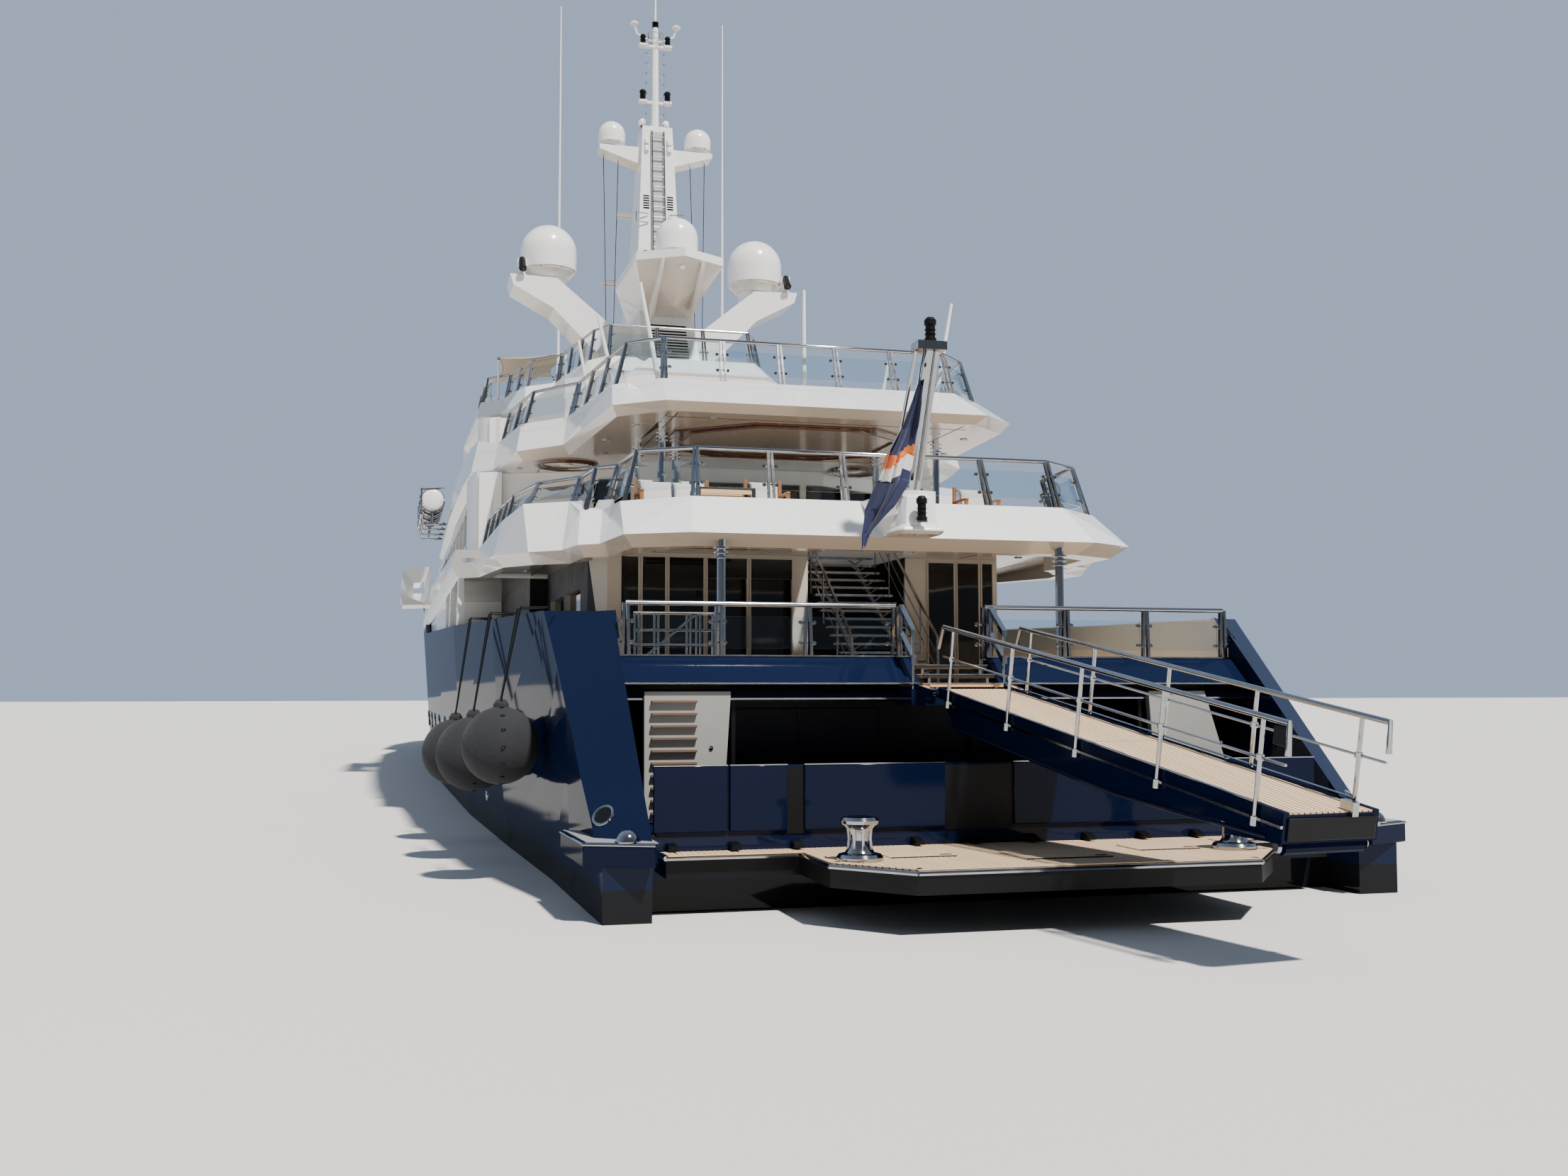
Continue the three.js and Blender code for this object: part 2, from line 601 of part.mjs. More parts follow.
// Tapered poles for an awning, which lean outward: foot x, y, then top x, y, z
const SIDE_POLES = [[-27.75, 3.0, -27.7, 3.46, 11.46], [-24.9, 3.4, -24.9, 3.96, 11.42],
  [-21.8, 3.55, -21.8, 4.02, 11.57]];
const STERN_POLE = [-27.97, 0, -28.0, 0, 11.45];
const POLE = { footR: 0.06, topR: 0.035, sides: 8 };
function pole([footX, footY, x, y, z]) {
  const foot = [footX, footY, BRIDGE_DECK_Z - 0.1];
  return bar(foot, [x, y, z], POLE.footR, POLE.topR, POLE.sides);
}

// Posts that hold the shade on the sun deck: x, y, height of the cloth
const SHADE = [[-6.5, 4.9, 14.4], [-6.5, 2.6, 14.75], [-2.6, 4.9, 14.3], [-2.6, 2.6, 14.6]];
function shadePosts() {
  return join(...SHADE.map(([x, y, z]) => bar([x, y, SUN_DECK_Z - 0.1], [x, y, z - GAP], 0.05, 0.04, 8)));
}

// Whip aerials on the sun deck
const WHIP = { x: -6.8, y: 2.9, top: 27.0 };
function whip() {
  return bar([WHIP.x, WHIP.y, SUN_DECK_Z - 0.1], [WHIP.x, WHIP.y, WHIP.top], 0.06, 0.02, 6);
}

function withMirror(body) {
  return join(body, mirrored(body));
}

function upperDeck() {
  const hung = [sidePillars(), ...DECK_POSTS.map(([x, y]) => roundPost(x, y, 2, 5.5))];
  const below = cut(withMirror(join(...hung)), moved(hullBody, 0, 0, GAP));
  return join(cut(deck(UPPER_DECK), ceilingCutter()), ensignBracket(), below);
}

const UPPER = upperDeck();
const BRIDGE = deck(BRIDGE_DECK);
const aboveFloor = box(-FAR, FAR, -9, 9, BRIDGE_DECK_Z, 20);
const belowRim = box(-FAR, FAR, -9, 9, 0, BRIDGE_DECK_Z + GAP);

function bridgeDeck() {
  const top = BRIDGE_FOOT_Z + 0.05;
  const posts = join(...UPPER_POSTS.map(([x, y]) => roundPost(x, y, UPPER_DECK_Z - 0.2, top)));
  const hung = cut(withMirror(posts), moved(UPPER, 0, 0, GAP));
  const awningPoles = join(pole(STERN_POLE), withMirror(join(...SIDE_POLES.map(pole))));
  return join(cut(BRIDGE, aboveFloor), hung, awningPoles);
}

const decks = {
  upper: UPPER,
  bridge: bridgeDeck(),
  sun: join(deck(SUN_DECK), withMirror(whip()), shadePosts()),
};
for (const [name, body] of Object.entries(decks)) add(`${name}_deck`, body, 'white');
add('bridge_bulwark', cut(BRIDGE, belowRim), 'white');

// HOUSES
// Port half outlines of the deckhouses, aft to forward, at their foot
const HOUSES = {
  main: {
    half: [[-28.3, 0], [-28.3, 4.2], [-27.6, 4.5], [-21.6, 4.7], [-21.6, 0]],
    z0: MAIN_DECK_Z, z1: AFT_CEILING_Z,
  },
  upper: {
    half: [[-22.6, 0], [-22.6, 2.0], [-21.6, 3.6], [-20.9, 4.6], [-20.5, 5.6], [-20.5, 6.3],
      [10.0, 6.3], [18.0, 5.1], [22.5, 3.2], [24.6, 0]],
    z0: UPPER_DECK_Z, z1: BRIDGE_FOOT_Z,
  },
  bridge: {
    half: [[-16.4, 0], [-16.4, 2.0], [-15.2, 3.6], [-12.0, 4.2], [-8.6, 4.3], [-8.4, 5.3],
      [4.0, 5.35], [8.5, 4.6], [11.6, 3.4], [12.6, 0]],
    z0: BRIDGE_DECK_Z, z1: SUN_FOOT_Z,
  },
};

// The recess in the main house that the aft stair climbs through
const ALCOVE = { x1: -26.3, y0: -2.12, y1: 0.02 };
function alcove(grow) {
  return box(-FAR, ALCOVE.x1 + grow, ALCOVE.y0 - grow, ALCOVE.y1 + grow, 0, 9);
}

function house({ half, z0, z1 }, windows, recess) {
  const shell = prism(bothSides(half), z0 + GAP, z1 - GAP);
  const room = prism(bothSides(inset(half, WALL)), z0 + WALL, z1 - WALL);
  if (!recess) return cut(shell, room, ...windows);
  return cut(shell, cut(room, recess(WALL)), recess(0), ...windows);
}

const CUT = 1.2;

// A row of equal windows along one side, mirrored to the other
function sideWindows(x0, x1, count, y, z0, z1) {
  const pitch = (x1 - x0) / count;
  const mullion = 0.28;
  const boxes = [];
  for (let i = 0; i < count; i += 1) {
    const start = x0 + i * pitch + mullion / 2;
    const end = x0 + (i + 1) * pitch - mullion / 2;
    boxes.push(box(start, end, y - CUT, y + CUT, z0, z1), box(start, end, -y - CUT, -y + CUT, z0, z1));
  }
  return boxes;
}

// Windows in a house's curved end, between the given half widths: columns y0, y1
function endWindows(x, bays, z0, z1, reach = CUT) {
  return bays.flatMap(([y0, y1]) => {
    const one = box(x - reach, x + reach, y0, y1, z0, z1);
    return y0 < 0 ? [one] : [one, mirrored(one)];
  });
}

// The glazed panes of the aft front on the main deck, from side to side
const FRONT_PANES = [[0.35, 1.25], [1.31, 2.16], [2.22, 2.95], [3.01, 3.5], [3.56, 3.93],
  [-3.22, -2.62], [-3.78, -3.28], [-4.1, -3.84]];
const OPENINGS = {
  main: [
    ...FRONT_PANES.map(([y0, y1]) => box(-29, -27.9, y0, y1, MAIN_DECK_Z + WALL, 5.25)),
    ...sideWindows(-26.8, -22.0, 2, 4.6, 3.6, 5.1),
  ],
  upper: [
    ...endWindows(-22.2, [[-1.4, 1.4], [1.55, 2.6], [2.75, 3.6]], UPPER_DECK_Z + WALL, 8.05),
    ...sideWindows(-19.6, 9.6, 12, 6.3, 7.2, 8.1),
    ...endWindows(21.5, [[-0.8, 0.8], [1.0, 2.4]], 6.9, 8.0, 4),
  ],
  bridge: [
    ...endWindows(-16.0, [[-1.4, 1.4], [1.55, 2.6]], BRIDGE_DECK_Z + WALL, 11.2),
    ...sideWindows(-7.8, 3.8, 6, 5.3, 10.1, 11.4),
    ...endWindows(11.5, [[-0.7, 0.7], [0.9, 2.2], [2.4, 3.4]], 10.2, 11.5, 3),
  ],
};

for (const name of Object.keys(HOUSES)) {
  const isMain = name === 'main';
  const body = house(HOUSES[name], OPENINGS[name], isMain ? alcove : null);
  add(`${name}_house`, body, isMain ? 'beige' : 'white');
}

// Dark window bands just inside the house walls
const BANDS = {
  main: { z0: MAIN_DECK_Z + WALL + GAP, z1: 5.35, cuts: [box(-30, -26, -2.4, 2.2, 0, 9)] },
  upper: { z0: UPPER_DECK_Z + WALL + GAP, z1: 8.2, cuts: [] },
  bridge: { z0: BRIDGE_DECK_Z + WALL + GAP, z1: 11.6, cuts: [] },
};
for (const [name, { z0, z1, cuts }] of Object.entries(BANDS)) {
  const { half } = HOUSES[name];
  const outer = prism(bothSides(inset(half, WALL + GAP)), z0, z1);
  const inner = prism(bothSides(inset(half, WALL + GAP + GLASS_T)), z0 - 1, z1 + 1);
  add(`${name}_windows`, cut(outer, inner, ...cuts), 'darkGlass');
}

// Two sliding leaves on their own tracks behind the glass front, which both slide to port
const LEAVES = [['saloon_door_port', -28.06, 1.27, 2.2], ['saloon_door_stbd', -27.97, 0.34, 1.29]];
for (const [name, x, y0, y1] of LEAVES) {
  add(name, box(x, x + 0.04, y0, y1, MAIN_DECK_Z + WALL + GAP, 5.35), 'darkGlass');
}

// The open stair from the main deck up through the deck above
function aftStair() {
  const { x0, x1, y0, y1, treads, depth, thick, rail } = STAIR;
  const rise = (UPPER_DECK_Z - MAIN_DECK_Z) / (treads + 1);
  const slope = rise / depth;
  const level = (x) => MAIN_DECK_Z + (x - x0) * slope;
  const steps = [];
  for (let i = 0; i < treads; i += 1) {
    const x = x0 + i * depth;
    const z = MAIN_DECK_Z + (i + 1) * rise;
    steps.push(box(x, x + depth + 0.03, y0 + 0.05, y1 - 0.05, z - thick, z));
  }
  const end = x1 - 0.1;
  const side = [[x0, MAIN_DECK_Z + GAP], [x0 + 0.35, MAIN_DECK_Z + GAP], [end, level(end) - 0.12],
    [end, level(end) + 0.15], [x0, MAIN_DECK_Z + 0.2]];
  const stringers = [y0, y1 - 0.06].map((y) => slab(side, y, y + 0.06));
  const rails = [y0 + 0.03, y1 - 0.03].flatMap((y) => {
    const posts = [x0 + 0.1, (x0 + end) / 2, end - 0.1].map((x) => (
      bar([x, y, level(x)], [x, y, level(x) + rail], POST_R, POST_R, 6)));
    const top = bar([x0 + 0.05, y, level(x0) + rail], [end, y, level(end) + rail], RAIL_R, RAIL_R, 6);
    return [...posts, top];
  });
  return join(...steps, ...stringers, ...rails);
}
add('aft_stair', aftStair(), 'teak');

// RAILS
// A top rail and a middle rail on posts, whose feet reach a little below the bulwark's edge
// Each row: foot x, y, then rail x, y, z, and the height of the bulwark below it
const POST_REACH = 0.1;
function railing(rows, spacing, base) {
  const rail = rows.map(([, , x, y, z]) => [x, y, z]);
  const middle = rows.map(([fx, fy, x, y, z, sill]) => [(fx + x) / 2, (fy + y) / 2, (sill + z) / 2]);
  const parts = [
    sweep(rail, roundSection(RAIL_R)),
    sweep(middle, roundSection(RAIL_R * 0.5, 4)),
  ];
  for (let i = 0; i + 1 < rows.length; i += 1) {
    const run = Math.hypot(rows[i + 1][2] - rows[i][2], rows[i + 1][3] - rows[i][3]);
    const bays = Math.max(1, Math.round(run / spacing));
    for (let k = i === 0 ? 0 : 1; k <= bays; k += 1) {
      const at = rows[i].map((value, column) => value + ((rows[i + 1][column] - value) * k) / bays);
      const [fx, fy, x, y, z, sill] = at;
      parts.push(bar([fx, fy, sill - POST_REACH], [x, y, z], POST_R, POST_R, 4));
    }
  }
  return seated(join(...parts), base);
}

function acrossStern(half) {
  const port = half.map((row) => [...row]).reverse();
  const starboard = half.map(([fx, fy, x, y, ...rest]) => [fx, -fy, x, -y, ...rest]);
  return [...port, ...starboard];
}

const MAIN_RAIL = [0.75, 5.0].map((y) => [-35.93, y, -35.93, y, 4.26, COAMING_Z]);
const UPPER_RAIL = [
  [-33.12, 3.38, -32.8, 3.3, 7.17, 6.3], [-32.15, 4.46, -32.0, 4.22, 7.2, 6.3],
  [-30.56, 4.54, -30.45, 4.3, 7.17, 6.33], [-30.24, 4.9, -30.15, 4.7, 7.15, 6.33],
  [-29.34, 5.0, -29.2, 4.85, 7.1, 6.63], [-28.7, 5.82, -28.5, 5.6, 7.05, 6.63],
  [-26.95, 6.1, -26.9, 5.95, 7.0, 6.48], [-22.25, 6.3, -22.25, 6.15, 7.05, 6.35],
];
const BRIDGE_RAIL = [
  [-28.52, 3.1, -28.2, 3.05, 10.2, 9.3], [-27.65, 3.96, -27.5, 3.72, 10.2, 9.3],
  [-23.68, 4.41, -23.5, 4.2, 10.15, 9.33], [-22.53, 5.36, -22.4, 5.15, 10.1, 9.33],
  [-19.65, 5.69, -19.65, 5.5, 10.1, 9.33],
];
const SUN_RAIL = [
  [-14.22, 2.2, -14.0, 2.1, 13.95, 12.98], [-13.38, 2.66, -13.2, 2.5, 13.95, 12.98],
  [-9.92, 3.24, -9.8, 3.1, 13.9, 12.98], [-9.12, 4.12, -9.0, 3.95, 13.85, 12.98],
  [-6.92, 4.66, -6.9, 4.5, 13.8, 12.98], [-6.02, 5.36, -6.0, 5.22, 13.8, 12.98],
  [-3.0, 5.41, -3.0, 5.27, 13.8, 12.98],
];

addPair('main_rail', railing(MAIN_RAIL, 1.1, hullBody), 'steel');
add('upper_rail', railing(acrossStern(UPPER_RAIL), 1.3, decks.upper), 'steel');
add('bridge_rail', railing(acrossStern(BRIDGE_RAIL), 1.3, BRIDGE), 'steel');
add('sun_rail', railing(acrossStern(SUN_RAIL), 1.5, decks.sun), 'steel');

// A sheet of clear glass inside a railing, from just above the bulwark to just under the rail
const GLASS_IN = 0.06;
function glazing(rows) {
  const rings = rows.map(([fx, fy, x, y, z, sill], i) => {
    const [ax, ay] = rows[Math.max(0, i - 1)].slice(2, 4);
    const [bx, by] = rows[Math.min(rows.length - 1, i + 1)].slice(2, 4);
    const run = Math.hypot(bx - ax, by - ay);
    const inward = [-(by - ay) / run, (bx - ax) / run];
    const at = (px, py, deep, height) => [px + inward[0] * deep, py + inward[1] * deep, height];
    const near = GLASS_IN;
    const far = GLASS_IN + GLASS_T;
    const foot = sill - 0.1;
    return [at(fx, fy, near, foot), at(fx, fy, far, foot), at(x, y, far, z - 0.08), at(x, y, near, z - 0.08)];
  });
  return loft(rings);
}
add('upper_glass', clearOf(glazing(acrossStern(UPPER_RAIL)), decks.upper), 'clearGlass');
add('bridge_glass', clearOf(glazing(acrossStern(BRIDGE_RAIL)), BRIDGE), 'clearGlass');

// AFT PLATFORM
const PLATFORM_Z = 0.8;
function swimPlatform() {
  const joint = TRANSOM_X - GAP;
  const half = [[PLATFORM_AFT_X, 0], [PLATFORM_AFT_X, 2.3], [-40.2, 3.1], [-38.8, 3.1],
    [-38.8, 4.9], [joint, 4.9], [joint, 0]];
  return prism(bothSides(half), PLATFORM_Z - 0.3, PLATFORM_Z);
}
add('swim_platform', swimPlatform(), 'teak');

// The folding panel across the lower transom, hinged along its bottom edge
const FLAP = { x: TRANSOM_X, z0: 1.0 + GAP, z1: 1.93, half: 4.95, thick: 0.12 };
function transomFlap() {
  return box(FLAP.x, FLAP.x + FLAP.thick, -FLAP.half, FLAP.half, FLAP.z0, FLAP.z1);
}
add('transom_flap', transomFlap(), 'navy');

function capstan(x, y, z) {
  const profile = [[0, 0], [0.3, 0], [0.26, 0.08], [0.14, 0.16], [0.13, 0.34], [0.24, 0.46], [0.2, 0.54],
    [0, 0.56]];
  return turned(profile, x, y, z, 16);
}
addPair('capstan', capstan(-40.0, 2.65, PLATFORM_Z + GAP), 'steel');

// GANGWAY
add('gangway_deck', gangwayDeck(), 'teak');
add('gangway_rail_port', gangwayRail(1), 'steel');
add('gangway_rail_stbd', gangwayRail(-1), 'steel');

// RUNNING GEAR
function propeller() {
  const onShaft = (along) => [SHAFT.x + along, SHAFT.y, SHAFT.z];
  const hub = bar(onShaft(-0.35), onShaft(0.35), PROP.hub * 0.6, PROP.hub, 12);
  const tail = bar(onShaft(0), onShaft(SHAFT.length), SHAFT.r, SHAFT.r, 8);
  const blades = [];
  for (let i = 0; i < PROP.blades; i += 1) {
    const angle = (i * 2 * Math.PI) / PROP.blades;
    const at = (radius, wide, pitch) => {
      const corner = (across, thick) => {
        const x = across * Math.sin(pitch) * wide + thick * Math.cos(pitch);
        const side = across * Math.cos(pitch) * wide - thick * Math.sin(pitch);
        const [cos, sin] = [Math.cos(angle), Math.sin(angle)];
        return [x, radius * cos - side * sin, radius * sin + side * cos];
      };
      return [corner(-1, -0.03), corner(1, -0.03), corner(1, 0.03), corner(-1, 0.03)];
    };
    const rings = [at(0.15, 0.2, 0.95), at(0.55, 0.34, 0.75), at(0.95, 0.4, 0.55), at(PROP.r, 0.16, 0.45)];
    blades.push(moved(loft(rings), SHAFT.x, SHAFT.y, SHAFT.z));
  }
  return join(hub, tail, ...blades);
}
addPair('propeller', propeller(), 'bronze');

function shaftBracket() {
  const x = SHAFT.x + 0.55;
  const clearance = 0.035;
  const ringOf = (r, from, to) => bar([x + from, SHAFT.y, SHAFT.z], [x + to, SHAFT.y, SHAFT.z], r, r, 16);
  const leg = (across) => loft([[-2.55, 0.16], [-0.5, 0.3]].map(([z, half]) => {
    const y = SHAFT.y + across * (z - SHAFT.z);
    const [front, back] = [x + 0.2, x + 0.2 + half * 3];
    return [[front, y - 0.05, z], [back, y - 0.05, z], [back, y + 0.05, z], [front, y + 0.05, z]];
  }));
  const solidPart = join(ringOf(0.29, 0, 1.2), leg(0.5), leg(-0.5));
  return cut(solidPart, ringOf(SHAFT.r + clearance, -1, 3), moved(hullBody, 0, 0, -GAP));
}
addPair('shaft_bracket', shaftBracket(), 'bronze');

function rudder() {
  const { x, y, z0, z1, chord, thick } = RUDDER;
  const section = (z, c) => [
    [x + c * 0.3, y, z], [x + c * 0.12, y + thick / 2, z], [x - c * 0.7, y + 0.02, z],
    [x - c * 0.7, y - 0.02, z], [x + c * 0.12, y - thick / 2, z],
  ];
  const blade = loft([section(z0, chord * 0.7), section(z1, chord)]);
  const stock = bar([x, y, z1 - 0.3], [x, y, TRUNK_FOOT_Z - GAP], RUDDER.stock, RUDDER.stock, 12);
  return join(blade, stock);
}
addPair('rudder', rudder(), 'antifoul');

function stabiliser() {
  const { x, y, z, root, tip, span, tilt } = FIN;
  const out = [Math.cos(tilt), Math.sin(tilt)];
  const section = (s, c) => {
    const cy = y + out[0] * s;
    const cz = z + out[1] * s;
    const n = [-out[1] * 0.11, out[0] * 0.11];
    return [
      [x + c * 0.5, cy, cz], [x + c * 0.2, cy + n[0], cz + n[1]], [x - c * 0.5, cy, cz],
      [x + c * 0.2, cy - n[0], cz - n[1]],
    ];
  };
  const at = (s) => [x, y + out[0] * s, z + out[1] * s];
  const stock = bar(at(GAP), at(0.3), 0.1, 0.1, 10);
  return join(loft([section(FIN.clear, root), section(span, tip)]), stock);
}
addPair('stabiliser', stabiliser(), 'antifoul');

// MAST
const MAST_X = -9.4;
const LARGE_DOME = { r: 0.92, x: MAST_X + 0.2, y: 3.5, z: 16.5 };
function mastTower() {
  const ringAt = (z, ahead, aft, half) => [
    [MAST_X + ahead, half, z], [MAST_X + ahead, -half, z], [MAST_X - aft, -half, z], [MAST_X - aft, half, z],
  ];
  const trunk = loft([ringAt(SUN_DECK_Z + GAP, 3.6, 3.4, 0.95), ringAt(15.0, 2.4, 2.2, 0.85),
    ringAt(17.0, 1.2, 0.9, 0.7), ringAt(21.8, 0.5, 0.5, 0.5)]);
  const shelf = stack([
    [bothSides([[MAST_X - 3.6, 0], [MAST_X - 2.4, 0.7], [MAST_X, 0.8], [MAST_X, 0]]), 14.9],
    [bothSides([[MAST_X - 5.4, 0], [MAST_X - 4.6, 1.35], [MAST_X - 1.0, 1.45], [MAST_X - 1.0, 0]]), 16.0],
    [bothSides([[MAST_X - 5.4, 0], [MAST_X - 4.6, 1.35], [MAST_X - 1.0, 1.45], [MAST_X - 1.0, 0]]), 16.25],
  ]);
  const arm = frame([[0.3, 13.4], [1.6, 13.6], [3.4, 15.4], [4.7, 16.1], [4.8, 16.45], [3.3, 16.4],
    [1.6, 15.0], [0.3, 14.8]], MAST_X - 0.6, MAST_X + 1.0);
  const small = frame([[0, 20.4], [0.5, 20.5], [1.9, 20.95], [1.9, 21.1], [0, 21.1]],
    MAST_X - 0.35, MAST_X + 0.35);
  const { x, y, z } = LARGE_DOME;
  const seat = bar([x, y, z - 0.7], [x, y, z], 0.5, 0.6, 12);
  return join(trunk, shelf, arm, mirrored(arm), small, mirrored(small), seat, mirrored(seat), scannerShelf());
}

function dome(r, x, y, z) {
  const profile = [[0, 0], [r * 0.75, 0], [r * 0.9, r * 0.25]];
  const steps = 6;
  for (let i = 0; i < steps; i += 1) {
    const angle = ((i / steps) * 0.6 - 0.1) * Math.PI;
    profile.push([r * Math.cos(angle), r * (1 + Math.sin(angle))]);
  }
  profile.push([0, r * 2]);
  return turned(profile, x, y, z, 16);
}

const SCANNERS = [
  { name: 'scanner_high', x: MAST_X + 2.05, z: 19.4, length: 2.0 },
  { name: 'scanner_low', x: MAST_X + 2.9, z: 17.2, length: 2.8 },
];
function scannerShelf() {
  return join(...SCANNERS.map(({ x, z }) => join(
    slab([[MAST_X, z - 1.2], [x + 0.35, z - 0.6], [x + 0.35, z - 0.5], [MAST_X, z - 0.45]], -0.3, 0.3),
    bar([x, 0, z - 0.55], [x, 0, z - 0.12 - GAP], 0.22, 0.2, 10),
  )));
}
// The pole on top of the tower, with its two cross arms
function mastPole() {
  const pole = bar([MAST_X, 0, 21.7], [MAST_X, 0, 25.4], 0.14, 0.1, 8);
  const tip = bar([MAST_X, 0, 25.3], [MAST_X, 0, 26.6], 0.04, 0.03, 6);
  const crosses = [22.75, 24.7].map((z) => box(MAST_X - 0.08, MAST_X + 0.08, -0.5, 0.5, z, z + 0.08));
  return join(pole, tip, ...crosses);
}
add('mast_tower', join(mastTower(), mastPole()), 'white');

addPair('large_dome', dome(LARGE_DOME.r, LARGE_DOME.x, LARGE_DOME.y, LARGE_DOME.z + GAP), 'white');
add('aft_dome', dome(0.66, MAST_X - 4.0, 0, 16.25 + GAP), 'white');
addPair('small_dome', dome(0.45, MAST_X, 1.46, 21.1 + GAP), 'white');

for (const { name, x, z, length } of SCANNERS) {
  const arm = box(x - 0.12, x + 0.12, -length / 2, length / 2, z, z + 0.22);
  add(name, join(arm, bar([x, 0, z - 0.12], [x, 0, z], 0.1)), 'white');
}

// The ensign staff: two tubes side by side, a thin stay and the plate that joins their heads
function ensignStaff() {
  const { x, z, topX, topZ, r } = ENSIGN;
  const main = bar([x, 0, z - 0.3], [topX, 0, topZ], r, r, 10);
  const second = bar([x, -0.13, z - 0.3], [topX, -0.13, topZ], r * 0.7, r * 0.7, 10);
  const stay = bar([x + 0.15, 0.34, z - 0.3], [topX + 0.1, 0.2, topZ - 0.1], r * 0.4, r * 0.4, 8);
  const head = box(topX - 0.14, topX + 0.2, -0.24, 0.26, topZ - 0.16, topZ - 0.02);
  return join(main, second, stay, head);
}
add('ensign_staff', seated(ensignStaff(), decks.upper), 'steel');

// CLOTH AND GEAR
// The ensign hangs limp from its staff, to port: x, then y of both edges, and the height
const ENSIGN_ROWS = [[-35.4, 0.08, 0.2, 8.05], [-35.12, 0.084, 0.45, 7.3], [-35.07, 0.12, 0.72, 6.45],
  [-35.05, 0.45, 0.95, 5.9], [-35.05, 0.84, 1.0, 5.42]];
function ensign() {
  const thick = 0.05;
  return loft(ENSIGN_ROWS.map(([x, y0, y1, z]) => (
    [[x, y0, z], [x, y1, z], [x + thick, y1, z], [x + thick, y0, z]])));
}
add('ensign', ensign(), 'navyCloth');

// The shade over the sun deck lies on its four posts and sags a little in the middle
function sunShade() {
  const thick = 0.04;
  const [aftOut, aftIn, foreOut, foreIn] = SHADE;
  const ring = (outer, inner, drop) => [
    [outer[0], outer[1], outer[2] - drop], [inner[0], inner[1], inner[2] - drop],
    [inner[0], inner[1], inner[2] - drop + thick], [outer[0], outer[1], outer[2] - drop + thick],
  ];
  const middle = (a, b) => a.map((value, i) => (value + b[i]) / 2);
  return loft([ring(aftOut, aftIn, 0), ring(middle(aftOut, foreOut), middle(aftIn, foreIn), 0.12),
    ring(foreOut, foreIn, 0)]);
}
add('sun_shade', seated(sunShade(), decks.sun), 'cloth');

// Ball fenders that hang over the port side: x, y, z of the middle, radius, height of the bulwark
const FENDERS = [[-34.5, 6.72, 2.1, 0.6, 4.21], [-31.2, 6.95, 1.85, 0.65, 4.29],
  [-27.5, 7.1, 1.75, 0.65, 4.38]];
function fender([x, y, z, r, edge]) {
  const ball = new THREE.SphereGeometry(r, 20, 14);
  ball.rotateX(Math.PI / 2);
  ball.translate(x, y, z);
  const eye = bar([x, y, z + r * 0.8], [x, y, z + r * 1.2], r * 0.2, r * 0.12, 8);
  const top = edge + 0.02;
  const out = y - 0.3;
  const line = bar([x, y, z + r], [x, out, top], 0.03, 0.03, 6);
  const hook = bar([x, out + 0.02, top], [x, out - 0.45, top], 0.03, 0.03, 6);
  return join(solid(ball), eye, line, hook);
}
FENDERS.forEach((row, i) => add(`fender_${i + 1}`, seated(fender(row), hullBody), 'rubber'));

// Liferaft canisters on cradles, in a rack outside the bridge deck
const RAFT = {
  xs: [-4.3, -2.5, -0.7], y: 7.0, z: 9.65, r: 0.4, length: 1.5, shelf: 8.82, inner: 6.46, outer: 7.35,
};
function raftRack() {
  const { xs, y, z, r, length, shelf, inner, outer } = RAFT;
  const first = xs[0] - length / 2;
  const last = xs[xs.length - 1] + length / 2;
  const rim = z + r + 0.06;
  const drums = xs.map((x) => bar([x - length / 2, y, z], [x + length / 2, y, z], r, r, 14));
  const plate = (x, y0, z1) => box(x - 0.06, x + 0.06, y0, outer, shelf - 0.07, z1);
  const cradles = xs.map((x) => plate(x, inner, z));
  const between = xs.slice(1).map((x, i) => (x + xs[i]) / 2);
  const uprights = [first + 0.06, ...between, last - 0.06].map((x) => plate(x, inner + 0.16, rim));
  const sill = box(first, last, inner + 0.16, outer, shelf - 0.1, shelf);
  return cut(join(sill, ...cradles, ...uprights, ...drums), moved(BRIDGE, 0, GAP, 0));
}
addPair('raft', raftRack(), 'white');

// The small balcony that stands out from the port side, with solid sides that flare a little
// Its section, seen from aft, as y and z, and the room inside it
const BALCONY = {
  x0: 0, x1: 3.2, rake: 0.3,
  section: [[6.9, 6.3], [7.9, 6.26], [8.0, 6.62], [7.93, 7.62], [6.9, 7.72]],
  room: { x0: 0.12, x1: 3.08, y0: 7.08, y1: 7.82, z: 6.7 },
};
function sideBalcony() {
  const { x0, x1, rake, section, room } = BALCONY;
  const ring = (x, tuck) => section.map(([y, z], i) => [i < 2 ? x + tuck : x, y, z]);
  const tub = loft([ring(x0, rake), ring(x1, -rake)]);
  const inside = box(room.x0, room.x1, room.y0, room.y1, room.z, 9);
  return clearOf(cut(tub, inside), decks.upper);
}
add('side_balcony', sideBalcony(), 'white');

// Furniture on the upper aft deck: a sofa and two armchairs that face aft, and a low table
// Each seat: name, x of its back, y of both ends, depth, height of the seat and of the back
const SEATS = [
  ['upper_sofa', -30.0, 2.5, 3.95, 0.8, 0.42, 0.95],
  ['upper_chair_port', -30.2, 1.1, 1.85, 0.72, 0.42, 0.95],
  ['upper_chair_stbd', -30.2, -3.2, -2.45, 0.72, 0.42, 0.95],
];
const SEAT_ARM = { width: 0.1, above: 0.2 };
function seat([, x, y0, y1, depth, low, high]) {
  const foot = UPPER_DECK_Z + GAP;
  const side = [[x - depth, foot], [x - depth, foot + low], [x - 0.22, foot + low], [x - 0.14, foot + high],
    [x, foot + high], [x - 0.06, foot]];
  const { width, above } = SEAT_ARM;
  const arm = (y) => box(x - depth + 0.02, x - 0.1, y, y + width, foot, foot + low + above);
  return join(slab(side, y0, y1), arm(y0), arm(y1 - width));
}
